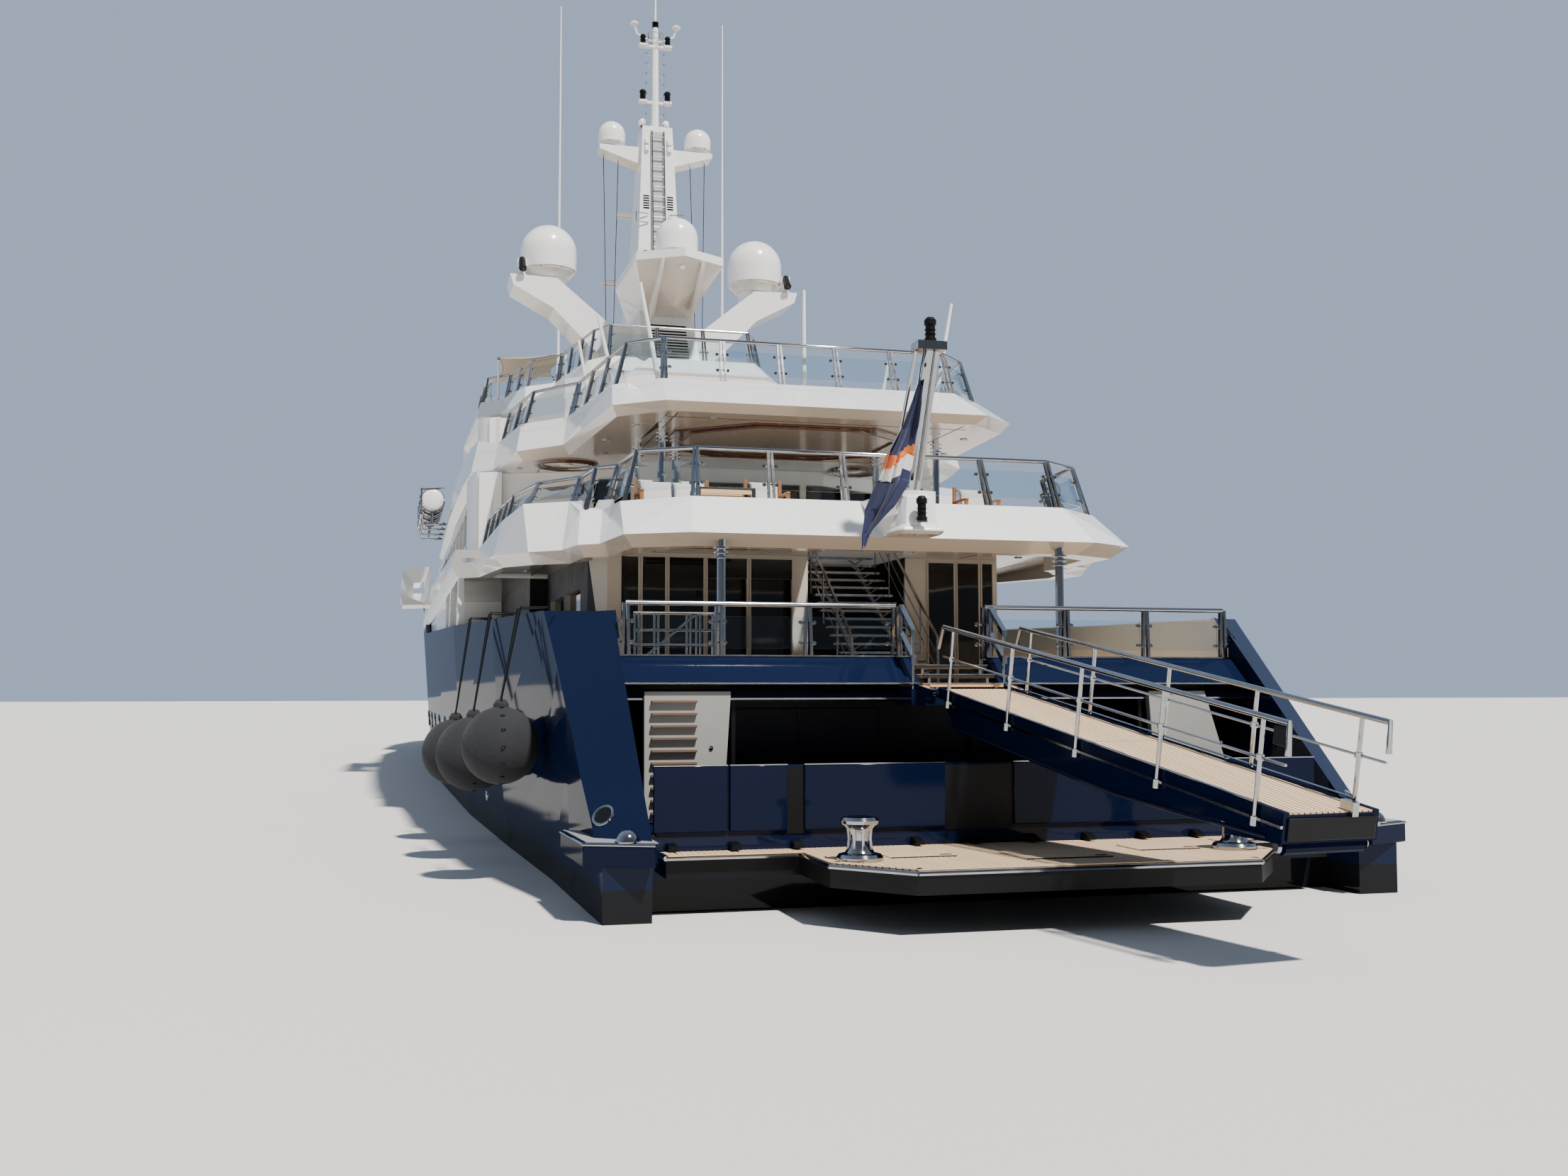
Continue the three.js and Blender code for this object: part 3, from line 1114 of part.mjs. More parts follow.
SEATS.forEach((row) => add(row[0], seat(row), 'cloth'));

const TABLE = { x0: -31.65, x1: -30.98, y0: 1.95, y1: 3.05, top: 0.6, thick: 0.06, leg: 0.07 };
function upperTable() {
  const { x0, x1, y0, y1, top, thick, leg } = TABLE;
  const foot = UPPER_DECK_Z + GAP;
  const legs = [x0, x1 - leg].flatMap((x) => [y0, y1 - leg].map((y) => (
    box(x, x + leg, y, y + leg, foot, foot + top))));
  return join(box(x0, x1, y0, y1, foot + top - thick, foot + top), ...legs);
}
add('upper_table', upperTable(), 'teak');

// The anchor windlass on the raised deck in the bow
function windlass() {
  const z = WINDLASS_DECK.z + GAP;
  const drum = (y0, y1, r) => bar([35.1, y0, z + 0.55], [35.1, y1, z + 0.55], r, r, 14);
  return join(box(34.5, 35.7, -0.75, 0.75, z, z + 0.3), drum(-1.05, 1.05, 0.16), drum(-0.95, -0.55, 0.36),
    drum(0.55, 0.95, 0.36), box(34.85, 35.35, -0.3, 0.3, z + 0.2, z + 0.85));
}
add('windlass', windlass(), 'steel');

export default yacht;
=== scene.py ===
# Looks for a motor yacht, 81 m long, built as a 1:10 model: paint, teak, glass, cloth and small gear
# around the frame's solids. Sizes below are metres of the full-size yacht, as on a plan. SCALE turns
# them into the model's metres. X points to the bow, Y to port, and Z up from the waterline.
import math
from fnmatch import fnmatch

import bmesh
import bpy
from mathutils import Matrix, Vector


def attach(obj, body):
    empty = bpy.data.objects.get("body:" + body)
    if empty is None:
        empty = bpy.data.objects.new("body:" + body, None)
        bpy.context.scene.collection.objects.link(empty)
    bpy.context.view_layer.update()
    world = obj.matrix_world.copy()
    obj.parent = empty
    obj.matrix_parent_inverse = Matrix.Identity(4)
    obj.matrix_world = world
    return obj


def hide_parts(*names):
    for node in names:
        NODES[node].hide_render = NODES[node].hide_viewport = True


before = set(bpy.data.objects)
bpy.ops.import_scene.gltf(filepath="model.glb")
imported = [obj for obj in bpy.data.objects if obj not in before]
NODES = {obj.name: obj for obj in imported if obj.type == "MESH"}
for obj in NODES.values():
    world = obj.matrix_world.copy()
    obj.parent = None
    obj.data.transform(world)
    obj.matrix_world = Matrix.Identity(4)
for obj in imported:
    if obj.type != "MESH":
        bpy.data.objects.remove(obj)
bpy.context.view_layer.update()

SCALE = 0.1
TAU = 2 * math.pi
UP = (0, 0, 1)
SIDES = ((1, "port"), (-1, "stbd"))

# Deck levels in metres of the full-size yacht
MAIN_DECK_Z = 3.0
UPPER_DECK_Z = 6.05
BRIDGE_DECK_Z = 9.1
SUN_DECK_Z = 12.8
FOREDECK_Z = 6.45
WATERLINE_Z = 0.0
# Top of the near-black band above the waterline: a boot top and painted shade
BOOT_TOP_AND_SHADE_Z = 0.42

# CAMERA
CAMERA_PLACE = (-58.136, 8.438, 2.9)
CAMERA_YAW = math.radians(-14.845)
CAMERA_PITCH = math.radians(4.026)
CAMERA_ROLL = math.radians(-0.10)
FOCAL_PX = 2110
PHOTO_WIDTH_PX = 2212
SENSOR_MM = 36


def add_object(name, data):
    made = bpy.data.objects.new(name, data)
    bpy.context.scene.collection.objects.link(made)
    return made


def make_camera():
    data = bpy.data.cameras.new("camera")
    data.sensor_width = SENSOR_MM
    data.lens = FOCAL_PX / PHOTO_WIDTH_PX * SENSOR_MM
    data.clip_start = 0.01
    data.clip_end = 200
    camera = add_object("camera", data)
    level = math.cos(CAMERA_PITCH)
    forward = Vector((level * math.cos(CAMERA_YAW), level * math.sin(CAMERA_YAW), math.sin(CAMERA_PITCH)))
    turn = forward.to_track_quat("-Z", "Y").to_matrix().to_4x4()
    roll = Matrix.Rotation(CAMERA_ROLL, 4, "Z")
    camera.matrix_world = Matrix.Translation(Vector(CAMERA_PLACE) * SCALE) @ turn @ roll
    bpy.context.scene.camera = camera


make_camera()


# SHADERS
class Nodes:
    """The nodes of a material or a world, made by short calls."""

    def __init__(self, owner):
        owner.use_nodes = True
        self.tree = owner.node_tree

    def feed(self, socket, value):
        if isinstance(value, bpy.types.NodeSocket):
            self.tree.links.new(value, socket)
        else:
            socket.default_value = value

    def node(self, kind, inputs, output=0, **settings):
        made = self.tree.nodes.new("ShaderNode" + kind)
        for key, value in settings.items():
            setattr(made, key, value)
        for socket, value in inputs.items():
            self.feed(made.inputs[socket], value)
        return made.outputs[output]

    def math(self, operation, a, b=0.0):
        return self.node("Math", {0: a, 1: b}, operation=operation)

    def times(self, a, b):
        return self.math("MULTIPLY", a, b)

    def either(self, a, b):
        return self.math("MAXIMUM", a, b)

    def above(self, value, limit):
        return self.math("GREATER_THAN", value, limit)

    def below(self, value, limit):
        return self.math("LESS_THAN", value, limit)

    def between(self, value, low, high):
        return self.times(self.above(value, low), self.below(value, high))

    def part(self, vector, axis):
        return self.node("SeparateXYZ", {0: vector}, axis)

    def ramp(self, value, low, high):
        return self.node("MapRange", {"Value": value, "From Min": low, "From Max": high})

    def mix(self, factor, a, b, kind="RGBA"):
        return self.node("Mix", {"Factor": factor, "A": a, "B": b}, "Result", data_type=kind)

    def blend(self, factor, a, b):
        return self.mix(factor, a, b, "FLOAT")


class Shader(Nodes):
    """A new material with a Principled surface."""

    def __init__(self, name, **surface):
        self.material = bpy.data.materials.new(name)
        super().__init__(self.material)
        self.surface = self.tree.nodes["Principled BSDF"].inputs
        for socket, value in surface.items():
            self.surface[socket.replace("_", " ")].default_value = value
        self.coords = self.node("TexCoord", {}, "Object")
        self.normal = self.node("NewGeometry", {}, "Normal")

    def place(self, axis):
        """One coordinate of the point, in metres of the full-size yacht."""
        return self.times(self.part(self.coords, axis), 1 / SCALE)

    def stretched(self, x, y, z):
        return self.node("Mapping", {"Vector": self.coords, "Scale": (x, y, z)})

    def noise(self, scale, detail=4.0, vector=None, roughness=0.5):
        inputs = {"Vector": vector or self.coords, "Scale": scale, "Detail": detail, "Roughness": roughness}
        return self.node("TexNoise", inputs)

    def finish(self, colour, rough=None, height=None, strength=0.0, distance=0.0):
        """Colour, roughness and relief of the surface, where they vary."""
        self.feed(self.surface["Base Color"], colour)
        if rough is not None:
            self.feed(self.surface["Roughness"], rough)
        if height is not None:
            relief = {"Strength": strength, "Distance": distance, "Height": height}
            self.feed(self.surface["Normal"], self.node("Bump", relief))
        return self.material


def rgb(red, green, blue):
    return (red, green, blue, 1.0)


def darker(base, share):
    return rgb(*[channel * share for channel in base[:3]])


NAVY = rgb(0.0024, 0.0056, 0.0235)
WHITE = rgb(0.86, 0.87, 0.87)
SHADE_GREY = rgb(0.50, 0.47, 0.43)
ANTIFOULING = rgb(0.012, 0.016, 0.03)
TEAK_LIGHT = rgb(0.78, 0.58, 0.37)
TEAK_DARK = rgb(0.6, 0.42, 0.26)
CAULK = rgb(0.02, 0.018, 0.016)

PLANK = 0.075
CAULK_SHARE = 0.09
PLANK_BUMP = (0.4, 0.0008)


# The colour and the height of caulked teak planks
def teak_nodes(shader, across="Y"):
    lane = shader.math("DIVIDE", shader.place(across), PLANK)
    edge = shader.math("ABSOLUTE", shader.math("SUBTRACT", shader.math("FRACT", lane), 0.5))
    seam = shader.above(edge, 0.5 - CAULK_SHARE)
    tone = shader.node("TexWhiteNoise", {"W": shader.math("FLOOR", lane)}, noise_dimensions="1D")
    stretch = (6, 90, 90) if across == "Y" else (90, 6, 90)
    grain = shader.noise(4.0, 8.0, shader.stretched(*stretch), 0.6)
    shade = shader.math("ADD", shader.times(tone, 0.5), shader.times(grain, 0.6))
    colour = shader.mix(seam, shader.mix(shade, TEAK_LIGHT, TEAK_DARK), CAULK)
    return colour, shader.math("SUBTRACT", shader.times(grain, 0.2), seam)


def teak(name, across="Y"):
    shader = Shader(name, Roughness=0.62, Specular_IOR_Level=0.35)
    colour, height = teak_nodes(shader, across)
    return shader.finish(colour, None, height, *PLANK_BUMP)


# Faired white gloss paint, with painted shade (a warmer, duller grey) on faces that look down, and caulked
# teak on the deck where there is one
def deck_paint(name, floor=None):
    shader = Shader(name, Coat_Weight=0.6, Coat_Roughness=0.06)
    up = shader.part(shader.normal, "Z")
    painted = shader.mix(shader.times(shader.noise(1.6, 3.0), 0.12), WHITE, SHADE_GREY)
    # Faces that look down turn to the warm grey: painted shade under decks and overhangs
    painted = shader.mix(shader.ramp(up, -0.35, -0.75), painted, SHADE_GREY)
    dust = shader.noise(40.0, 6.0)
    gloss = shader.blend(dust, 0.16, 0.32)
    if floor is None:
        return shader.finish(painted, gloss, dust, 0.02, 0.001)
    level = shader.between(shader.place("Z"), floor - 0.06, floor + 0.03)
    walk = shader.times(shader.above(up, 0.9), level)
    planks, relief = teak_nodes(shader)
    colour = shader.mix(walk, painted, planks)
    return shader.finish(colour, shader.blend(walk, gloss, 0.62), shader.times(walk, relief), *PLANK_BUMP)


# Metallic navy topsides with an antifouled bottom, white inner bulwarks, and a near-black band above the
# waterline, which is a boot top and painted shade low on the hull
def hull_paint(name):
    shader = Shader(name, Coat_Weight=0.3, Coat_Roughness=0.05, Specular_IOR_Level=0.0)
    x, y, z = [shader.place(axis) for axis in "XYZ"]
    face_x, face_y, face_z = [shader.part(shader.normal, axis) for axis in "XYZ"]
    side = shader.times(shader.math("SIGN", y), face_y)
    inward = shader.times(shader.below(side, -0.3), shader.above(z, MAIN_DECK_Z - 0.02))
    inward = shader.times(inward, shader.above(x, -35.7))
    forward = shader.times(shader.above(x, 19.2), shader.below(face_x, -0.5))
    inner = shader.either(inward, shader.times(forward, shader.above(z, 5.0)))
    main = shader.between(z, MAIN_DECK_Z - 0.05, MAIN_DECK_Z + 0.02)
    fore = shader.between(z, FOREDECK_Z - 0.05, FOREDECK_Z + 0.35)
    walk = shader.times(shader.above(face_z, 0.9), shader.either(main, fore))
    drift = shader.noise(2.5, 3.0)
    navy = shader.mix(shader.times(shader.noise(900.0, 2.0), 0.35), NAVY, rgb(0.007, 0.0135, 0.046))
    navy = shader.mix(shader.times(drift, 0.25), navy, rgb(0.01, 0.02, 0.05))
    planks, relief = teak_nodes(shader)
    colour = shader.mix(walk, shader.mix(inner, navy, WHITE), planks)
    # A near-black band from the waterline up: a boot top, and painted shade low on the hull
    colour = shader.mix(shader.between(z, WATERLINE_Z, BOOT_TOP_AND_SHADE_Z), colour, rgb(0.006, 0.007, 0.009))
    wet = shader.below(z, WATERLINE_Z)
    fouling = shader.mix(shader.noise(6.0, 6.0), ANTIFOULING, rgb(0.03, 0.035, 0.05))
    rough = shader.blend(shader.either(walk, wet), shader.blend(drift, 0.10, 0.2), 0.6)
    return shader.finish(shader.mix(wet, colour, fouling), rough, shader.times(walk, relief), *PLANK_BUMP)


def plain_paint(name, base, roughness=0.3, coat=0.4, shine=0.5):
    shader = Shader(name, Coat_Weight=coat, Coat_Roughness=0.08, Specular_IOR_Level=shine)
    wear = shader.noise(30.0, 6.0)
    colour = shader.mix(shader.times(wear, 0.5), base, darker(base, 0.82))
    rough = shader.blend(wear, roughness * 0.8, roughness * 1.3)
    return shader.finish(colour, rough, shader.noise(220.0, 2.0), 0.03, 0.0006)


def dark_glass(name):
    shader = Shader(name, IOR=1.45, Coat_Weight=0.1, Coat_Roughness=0.02)
    # Paler patches in the dark glass are painted reflections; the same noise varies its gloss
    room = shader.noise(3.0, 4.0, shader.stretched(1, 1, 0.5))
    colour = shader.mix(room, rgb(0.002, 0.003, 0.004), rgb(0.012, 0.011, 0.01))
    return shader.finish(colour, shader.blend(room, 0.03, 0.08), shader.noise(5.0, 1.0), 0.02, 0.002)


def clear_glass(name):
    shader = Shader(name, Transmission_Weight=1.0, IOR=1.35, Roughness=0.02)
    smear = shader.noise(8.0, 5.0)
    colour = shader.mix(smear, rgb(0.86, 0.94, 0.98), rgb(0.74, 0.87, 0.94))
    return shader.finish(colour, shader.blend(smear, 0.01, 0.06))


def metal(name, base, roughness, wear_scale=60.0, dark=0.7):
    shader = Shader(name, Metallic=1.0)
    wear = shader.noise(wear_scale, 6.0)
    colour = shader.mix(wear, base, darker(base, dark))
    rough = shader.blend(wear, roughness * 0.6, roughness * 1.6)
    return shader.finish(colour, rough, shader.noise(wear_scale * 6, 2.0), 0.05, 0.0004)


def woven(name, base, sheen=0.3, thread=900.0):
    shader = Shader(name, Roughness=0.85, Sheen_Weight=sheen, Sheen_Roughness=0.5)
    x, y, z = [shader.math("SINE", shader.times(shader.part(shader.coords, axis), thread)) for axis in "XYZ"]
    colour = shader.mix(shader.times(shader.noise(9.0, 5.0), 0.7), base, darker(base, 0.7))
    return shader.finish(colour, None, shader.times(x, shader.times(y, z)), 0.25, 0.0008)


def pile_cloth(name, base):
    shader = Shader(name, Roughness=0.95, Sheen_Weight=0.04, Sheen_Roughness=0.5)
    pale = rgb(*[channel * 3 + 0.01 for channel in base[:3]])
    colour = shader.mix(shader.times(shader.noise(14.0, 5.0), 0.45), base, pale)
    return shader.finish(colour, None, shader.noise(160.0, 8.0, roughness=0.7), 0.8, 0.002)


HULL_PAINT = hull_paint("hull_paint")
UPPER_PAINT = deck_paint("upper_deck_paint", UPPER_DECK_Z)
BRIDGE_PAINT = deck_paint("bridge_deck_paint", BRIDGE_DECK_Z)
SUN_PAINT = deck_paint("sun_deck_paint", SUN_DECK_Z)
WHITE_PAINT = deck_paint("white_paint")
BEIGE_PAINT = plain_paint("beige_paint", rgb(0.56, 0.53, 0.47), 0.42, 0.2)
NAVY_PAINT = plain_paint("navy_paint", NAVY, 0.2, 0.2, 0.0)
BOTTOM_PAINT = plain_paint("antifouling", ANTIFOULING, 0.6, 0.0)
TEAK = teak("teak")
TEAK_ACROSS = teak("teak_across", "X")
DARK_GLASS = dark_glass("dark_glass")
CLEAR_GLASS = clear_glass("clear_glass")
STEEL = metal("polished_steel", rgb(0.46, 0.47, 0.49), 0.1)
BRONZE = metal("cast_bronze", rgb(0.62, 0.42, 0.17), 0.3, 25.0, 0.55)
GREY_PAINT = plain_paint("grey_paint", rgb(0.42, 0.43, 0.44), 0.35, 0.4)
BLACK = plain_paint("black", rgb(0.004, 0.004, 0.005), 0.4, 0.0, 0.2)
# A pale grey darkened to the look of the stair panels in the shade under the fascia: painted shade
SHADED_PALE_GREY = plain_paint("shaded_pale_grey", rgb(0.34, 0.34, 0.32), 0.45, 0.1, 0.3)
SHADED_GLASS = plain_paint("shaded_glass", rgb(0.006, 0.006, 0.007), 0.45, 0.0, 0.2)
SHADED_NAVY = plain_paint("shaded_navy", rgb(0.002, 0.004, 0.014), 0.4, 0.0, 0.2)
# A dull brown darkened to the look of the platform steps in the shade under the fascia: wood colour with
# painted shade
SHADED_STEP_WOOD = plain_paint("shaded_step_wood", rgb(0.16, 0.1, 0.07), 0.6, 0.0)
OILED_WOOD = plain_paint("oiled_wood", rgb(0.34, 0.15, 0.06), 0.4, 0.2)
DARK_WOOD = plain_paint("dark_wood", rgb(0.09, 0.03, 0.018), 0.25, 0.7)
LAMP_GLASS = plain_paint("lamp_glass", rgb(0.8, 0.78, 0.7), 0.2, 0.8)
GLASS_EDGE = metal("glass_edge", rgb(0.75, 0.88, 0.92), 0.2)
BEIGE_CLOTH = woven("beige_cloth", rgb(0.62, 0.56, 0.44))
PALE_CLOTH = woven("pale_cloth", rgb(0.72, 0.71, 0.68))
NAVY_CLOTH = woven("navy_cloth", rgb(0.012, 0.018, 0.075), 0.15)
ORANGE_CLOTH = woven("orange_cloth", rgb(0.72, 0.16, 0.02), 0.15)
WHITE_CLOTH = woven("white_cloth", rgb(0.75, 0.75, 0.73), 0.15)
FENDER_PILE = pile_cloth("fender_pile", rgb(0.01, 0.011, 0.014))

# The frame's nodes in each material; a star stands for any letters
FINISHES = {
    HULL_PAINT: "hull",
    UPPER_PAINT: "upper_deck",
    BRIDGE_PAINT: "bridge_deck bridge_bulwark",
    SUN_PAINT: "sun_deck",
    WHITE_PAINT: "topside_band upper_house bridge_house mast_tower scanner_* *_dome* raft_* side_balcony",
    BEIGE_PAINT: "main_house",
    NAVY_PAINT: "transom_flap gangway_deck",
    # Black sides of the swim platform: painted shade under its edge; its top is repainted teak below
    BLACK: "swim_platform",
    DARK_GLASS: "*_windows saloon_door_*",
    CLEAR_GLASS: "upper_glass bridge_glass",
    STEEL: "*_rail *_rail_port *_rail_stbd ensign_staff capstan_* windlass",
    TEAK: "aft_stair",
    OILED_WOOD: "upper_table",
    BRONZE: "propeller_* shaft_bracket_*",
    BOTTOM_PAINT: "rudder_* stabiliser_*",
    BEIGE_CLOTH: "sun_shade upper_sofa upper_chair_*",
    NAVY_CLOTH: "ensign",
    FENDER_PILE: "fender_*",
}


def finish_frame():
    for material, patterns in FINISHES.items():
        for name, node in NODES.items():
            if any(fnmatch(name, pattern) for pattern in patterns.split()):
                node.data.materials.clear()
                node.data.materials.append(material)
                for face in node.data.polygons:
                    face.material_index = 0


# Faces of a node that pass a test get a second material
def repaint(node, material, wanted):
    mesh = NODES[node].data
    mesh.materials.append(material)
    for face in mesh.polygons:
        if wanted(face.center / SCALE, face.normal):
            face.material_index = len(mesh.materials) - 1


def near(place, spots):
    return any(math.hypot(place.x - x, abs(place.y) - y) < 0.16 for x, y in spots)


finish_frame()
repaint("swim_platform", TEAK, lambda place, normal: normal.z > 0.9)
repaint("main_house", SHADED_GLASS, lambda place, normal: abs(place.y) > 4.3 and abs(normal.y) > 0.6)
repaint("main_house", SHADED_GLASS, lambda place, normal: -2.2 < place.y < 0.1 and place.x > -28.25)
repaint("topside_band", SHADED_GLASS, lambda place, normal: abs(place.y) < 5.3 and abs(normal.z) < 0.5)
repaint("upper_deck", STEEL, lambda place, normal: place.z < 5.6 and near(place, [(-33.8, 3.07)]))
repaint("bridge_deck", STEEL, lambda place, normal: (
    place.z < 8.45 and near(place, [(-27.83, 3.01), (-25.9, 3.2), (-25.7, 2.34)])))


# FORMS
BOX_FACES = [(0, 2, 3, 1), (4, 5, 7, 6), (0, 1, 5, 4), (2, 6, 7, 3), (0, 4, 6, 2), (1, 3, 7, 5)]


def circle(middle, side, up, radius, sides):
    angles = [TAU * k / sides for k in range(sides)]
    return [middle + (side * math.cos(angle) + up * math.sin(angle)) * radius for angle in angles]


def directions(along):
    """An axis and two directions square to it."""
    axis = Vector(along).normalized()
    side = axis.orthogonal().normalized()
    return axis, side, axis.cross(side)


def spokes(count, first=0.0):
    """Level directions, evenly around; the first one is turned by an angle."""
    angles = [TAU * k / count + first for k in range(count)]
    return [Vector((math.cos(angle), math.sin(angle), 0)) for angle in angles]


def squarish(count, power):
    """Points of a circle of radius one that bulges toward a square."""
    found = []
    for out in spokes(count):
        found.append([math.copysign(abs(part) ** power, part) for part in out[:2]])
    return found


class Form:
    """Points and faces of one piece, in metres of the full-size yacht."""

    def __init__(self, turn=None):
        self.points = []
        self.faces = []
        self.tones = []
        self.turn = turn or Matrix()

    def add(self, points, faces):
        first = len(self.points)
        self.points += [self.turn @ Vector(point) for point in points]
        self.faces += [[first + i for i in face] for face in faces]
        self.tones += [0] * len(faces)

    def box(self, x, y, z):
        points = [(a, b, c) for c in z for b in y for a in x]
        self.add(points, BOX_FACES)

    def rings(self, rows, closed=False):
        """Rings of points, joined one to the next and capped at both ends."""
        count = len(rows[0])
        last = (len(rows) - 1) * count
        faces = []
        for a in range(0, last + 1 if closed else last, count):
            b = (a + count) % (last + count)
            for i in range(count):
                j = (i + 1) % count
                faces.append((a + i, a + j, b + j, b + i))
        if not closed:
            faces += [tuple(reversed(range(count))), tuple(range(last, last + count))]
        self.add([point for row in rows for point in row], faces)

    def prism(self, outline, axis, ends):
        """An outline square to one axis, made thick along it."""
        self.rings([[point[:axis] + (end,) + point[axis:] for point in outline] for end in ends])

    def bar(self, foot, head, wide, deep):
        corners = [wide + deep, deep - wide, -wide - deep, wide - deep]
        self.rings([[end + corner for corner in corners] for end in (foot, head)])

    def tube(self, path, radius, sides=8, closed=False, tip=None):
        """A round tube along a path; tip is its radius at the far end."""
        path = [Vector(point) for point in path]
        rows = []
        side = None
        for i, point in enumerate(path):
            before = path[i - 1] if i or closed else point
            after = path[(i + 1) % len(path)] if i + 1 < len(path) or closed else point
            along = (after - before).normalized()
            if side is None:
                side = along.cross(Vector(UP))
                if side.length < 0.1:
                    side = along.cross(Vector((1, 0, 0)))
            side = (side - along * side.dot(along)).normalized()
            wide = radius if tip is None else radius + (tip - radius) * i / (len(path) - 1)
            rows.append(circle(point, side, along.cross(side), wide, sides))
        self.rings(rows, closed)

    def turned(self, profile, place, sides=16, along=UP):
        """A turned body: radius and height pairs about an axis through a place."""
        axis, side, up = directions(along)
        rows = []
        for radius, height in profile:
            rows.append(circle(Vector(place) + axis * height, side, up, max(radius, 0.0005), sides))
        self.rings(rows)

    def disc(self, place, radius, low, high, sides=16, along=UP):
        self.turned([(0, low), (radius, low), (radius, high), (0, high)], place, sides, along)

    def hoop(self, place, radius, thick, sides=32, along=UP):
        axis, side, up = directions(along)
        self.tube(circle(Vector(place), side, up, radius, sides), thick, closed=True)


def piece(name, form, materials, body="root", replaces=(), bevel=0.0, smooth=35):
    mesh = bpy.data.meshes.new(name)
    mesh.from_pydata([point * SCALE for point in form.points], [], form.faces)
    made = add_object(name, mesh)
    work = bmesh.new()
    work.from_mesh(mesh)
    bmesh.ops.recalc_face_normals(work, faces=work.faces)
    work.to_mesh(mesh)
    work.free()
    for material in materials:
        mesh.materials.append(material)
    for face, tone in zip(mesh.polygons, form.tones):
        face.material_index = tone
    mesh.shade_smooth()
    mesh.set_sharp_from_angle(angle=math.radians(smooth))
    if bevel:
        edge = made.modifiers.new("edge", "BEVEL")
        edge.width = bevel * SCALE
        edge.segments = 2
        edge.limit_method = "ANGLE"
        edge.angle_limit = math.radians(40)
        edge.use_clamp_overlap = True
    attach(made, body)
    if replaces:
        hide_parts(*replaces)
    return made


def pieces(*rows, body="root", turn=None):
    """Lets the function below fill a form for each row: name, material, settings of its piece."""

    def run(draw):
        forms = [Form(turn) for _ in rows]
        draw(*forms)
        for form, (name, material, *settings) in zip(forms, rows):
            piece(name, form, [material], **{"body": body, **dict(*settings)})
        return draw

    return run


# RAILS
# Each row: foot x, y, then rail x, y, z, and the height of the bulwark below it
UPPER_RAIL = [
    (-33.12, 3.38, -32.8, 3.3, 7.17, 6.3), (-32.15, 4.46, -32.0, 4.22, 7.2, 6.3),
    (-30.56, 4.54, -30.45, 4.3, 7.17, 6.33), (-30.24, 4.9, -30.15, 4.7, 7.15, 6.33),
    (-29.34, 5.0, -29.2, 4.85, 7.1, 6.63), (-28.7, 5.82, -28.5, 5.6, 7.05, 6.63),
    (-26.95, 6.1, -26.9, 5.95, 7.0, 6.48), (-22.25, 6.3, -22.25, 6.15, 7.05, 6.35),
]
BRIDGE_RAIL = [
    (-28.52, 3.1, -28.2, 3.05, 10.2, 9.3), (-27.65, 3.96, -27.5, 3.72, 10.2, 9.3),
    (-23.68, 4.41, -23.5, 4.2, 10.15, 9.33), (-22.53, 5.36, -22.4, 5.15, 10.1, 9.33),
    (-19.65, 5.69, -19.65, 5.5, 10.1, 9.33),
]
SUN_RAIL = [
    (-14.22, 2.2, -14.0, 2.1, 13.95, 12.98), (-13.38, 2.66, -13.2, 2.5, 13.95, 12.98),
    (-9.92, 3.24, -9.8, 3.1, 13.9, 12.98), (-9.12, 4.12, -9.0, 3.95, 13.85, 12.98),
    (-6.92, 4.66, -6.9, 4.5, 13.8, 12.98), (-6.02, 5.36, -6.0, 5.22, 13.8, 12.98),
    (-3.0, 5.41, -3.0, 5.27, 13.8, 12.98),
]
COAMING_RAIL = [(-35.93, 0.75, -35.93, 0.75, 4.26, 3.46), (-35.93, 5.0, -35.93, 5.0, 4.26, 3.46)]
POST_SPACING = 1.3
RAIL_RADIUS = 0.038
BAR_WIDE = 0.022
BAR_DEEP = 0.032
BAR_APART = 0.05
PANE_SHARES = (0.2, 0.78)
PANE_IN = 0.05
PANE_THICK = 0.02
PANE_GAP = 0.07
GRIP = [(0, -0.03), (0.03, -0.03), (0.034, 0), (0.03, 0.03), (0, 0.03)]


def starboard(rows):
    return [(fx, -fy, x, -y, z, sill) for fx, fy, x, y, z, sill in rows]


def stations(rows):
    """The foot and the head of each post, and the direction of the rail there."""
    found = []
    for number, (a, b) in enumerate(zip(rows, rows[1:])):
        run = Vector((b[2] - a[2], b[3] - a[3], 0))
        bays = max(1, round(run.length / POST_SPACING))
        for k in range(bays + 1):
            foot_x, foot_y, x, y, z, sill = [p + (q - p) * k / bays for p, q in zip(a, b)]
            foot = Vector((foot_x, foot_y, sill - 0.04))
            found.append((number, foot, Vector((x, y, z)), run.normalized()))
    return found


def rail_tubes(rows):
    form = Form()
    form.tube([row[2:5] for row in rows], RAIL_RADIUS, 12)
    seen = set()
    for _, foot, head, run in stations(rows):
        key = (round(head.x, 2), round(head.y, 2))
        if key in seen:
            continue
        seen.add(key)
        outward = run.cross(Vector(UP)).normalized()
        for side in (-1, 1):
            apart = run * BAR_APART * side
            form.bar(foot + apart, head + apart * 0.6, run * BAR_WIDE, outward * BAR_DEEP)
        form.turned([(0, 0), (0.09, 0), (0.07, 0.02), (0, 0.03)], foot, 10)
        for share in (0.3, 0.68):
            at = foot.lerp(head, share)
            for side in (-1, 1):
                grip = at + run * side * 0.11 - outward * PANE_IN
                form.turned(GRIP, grip, 10, -outward)
                form.tube([at, grip], 0.014, 6)
    return form


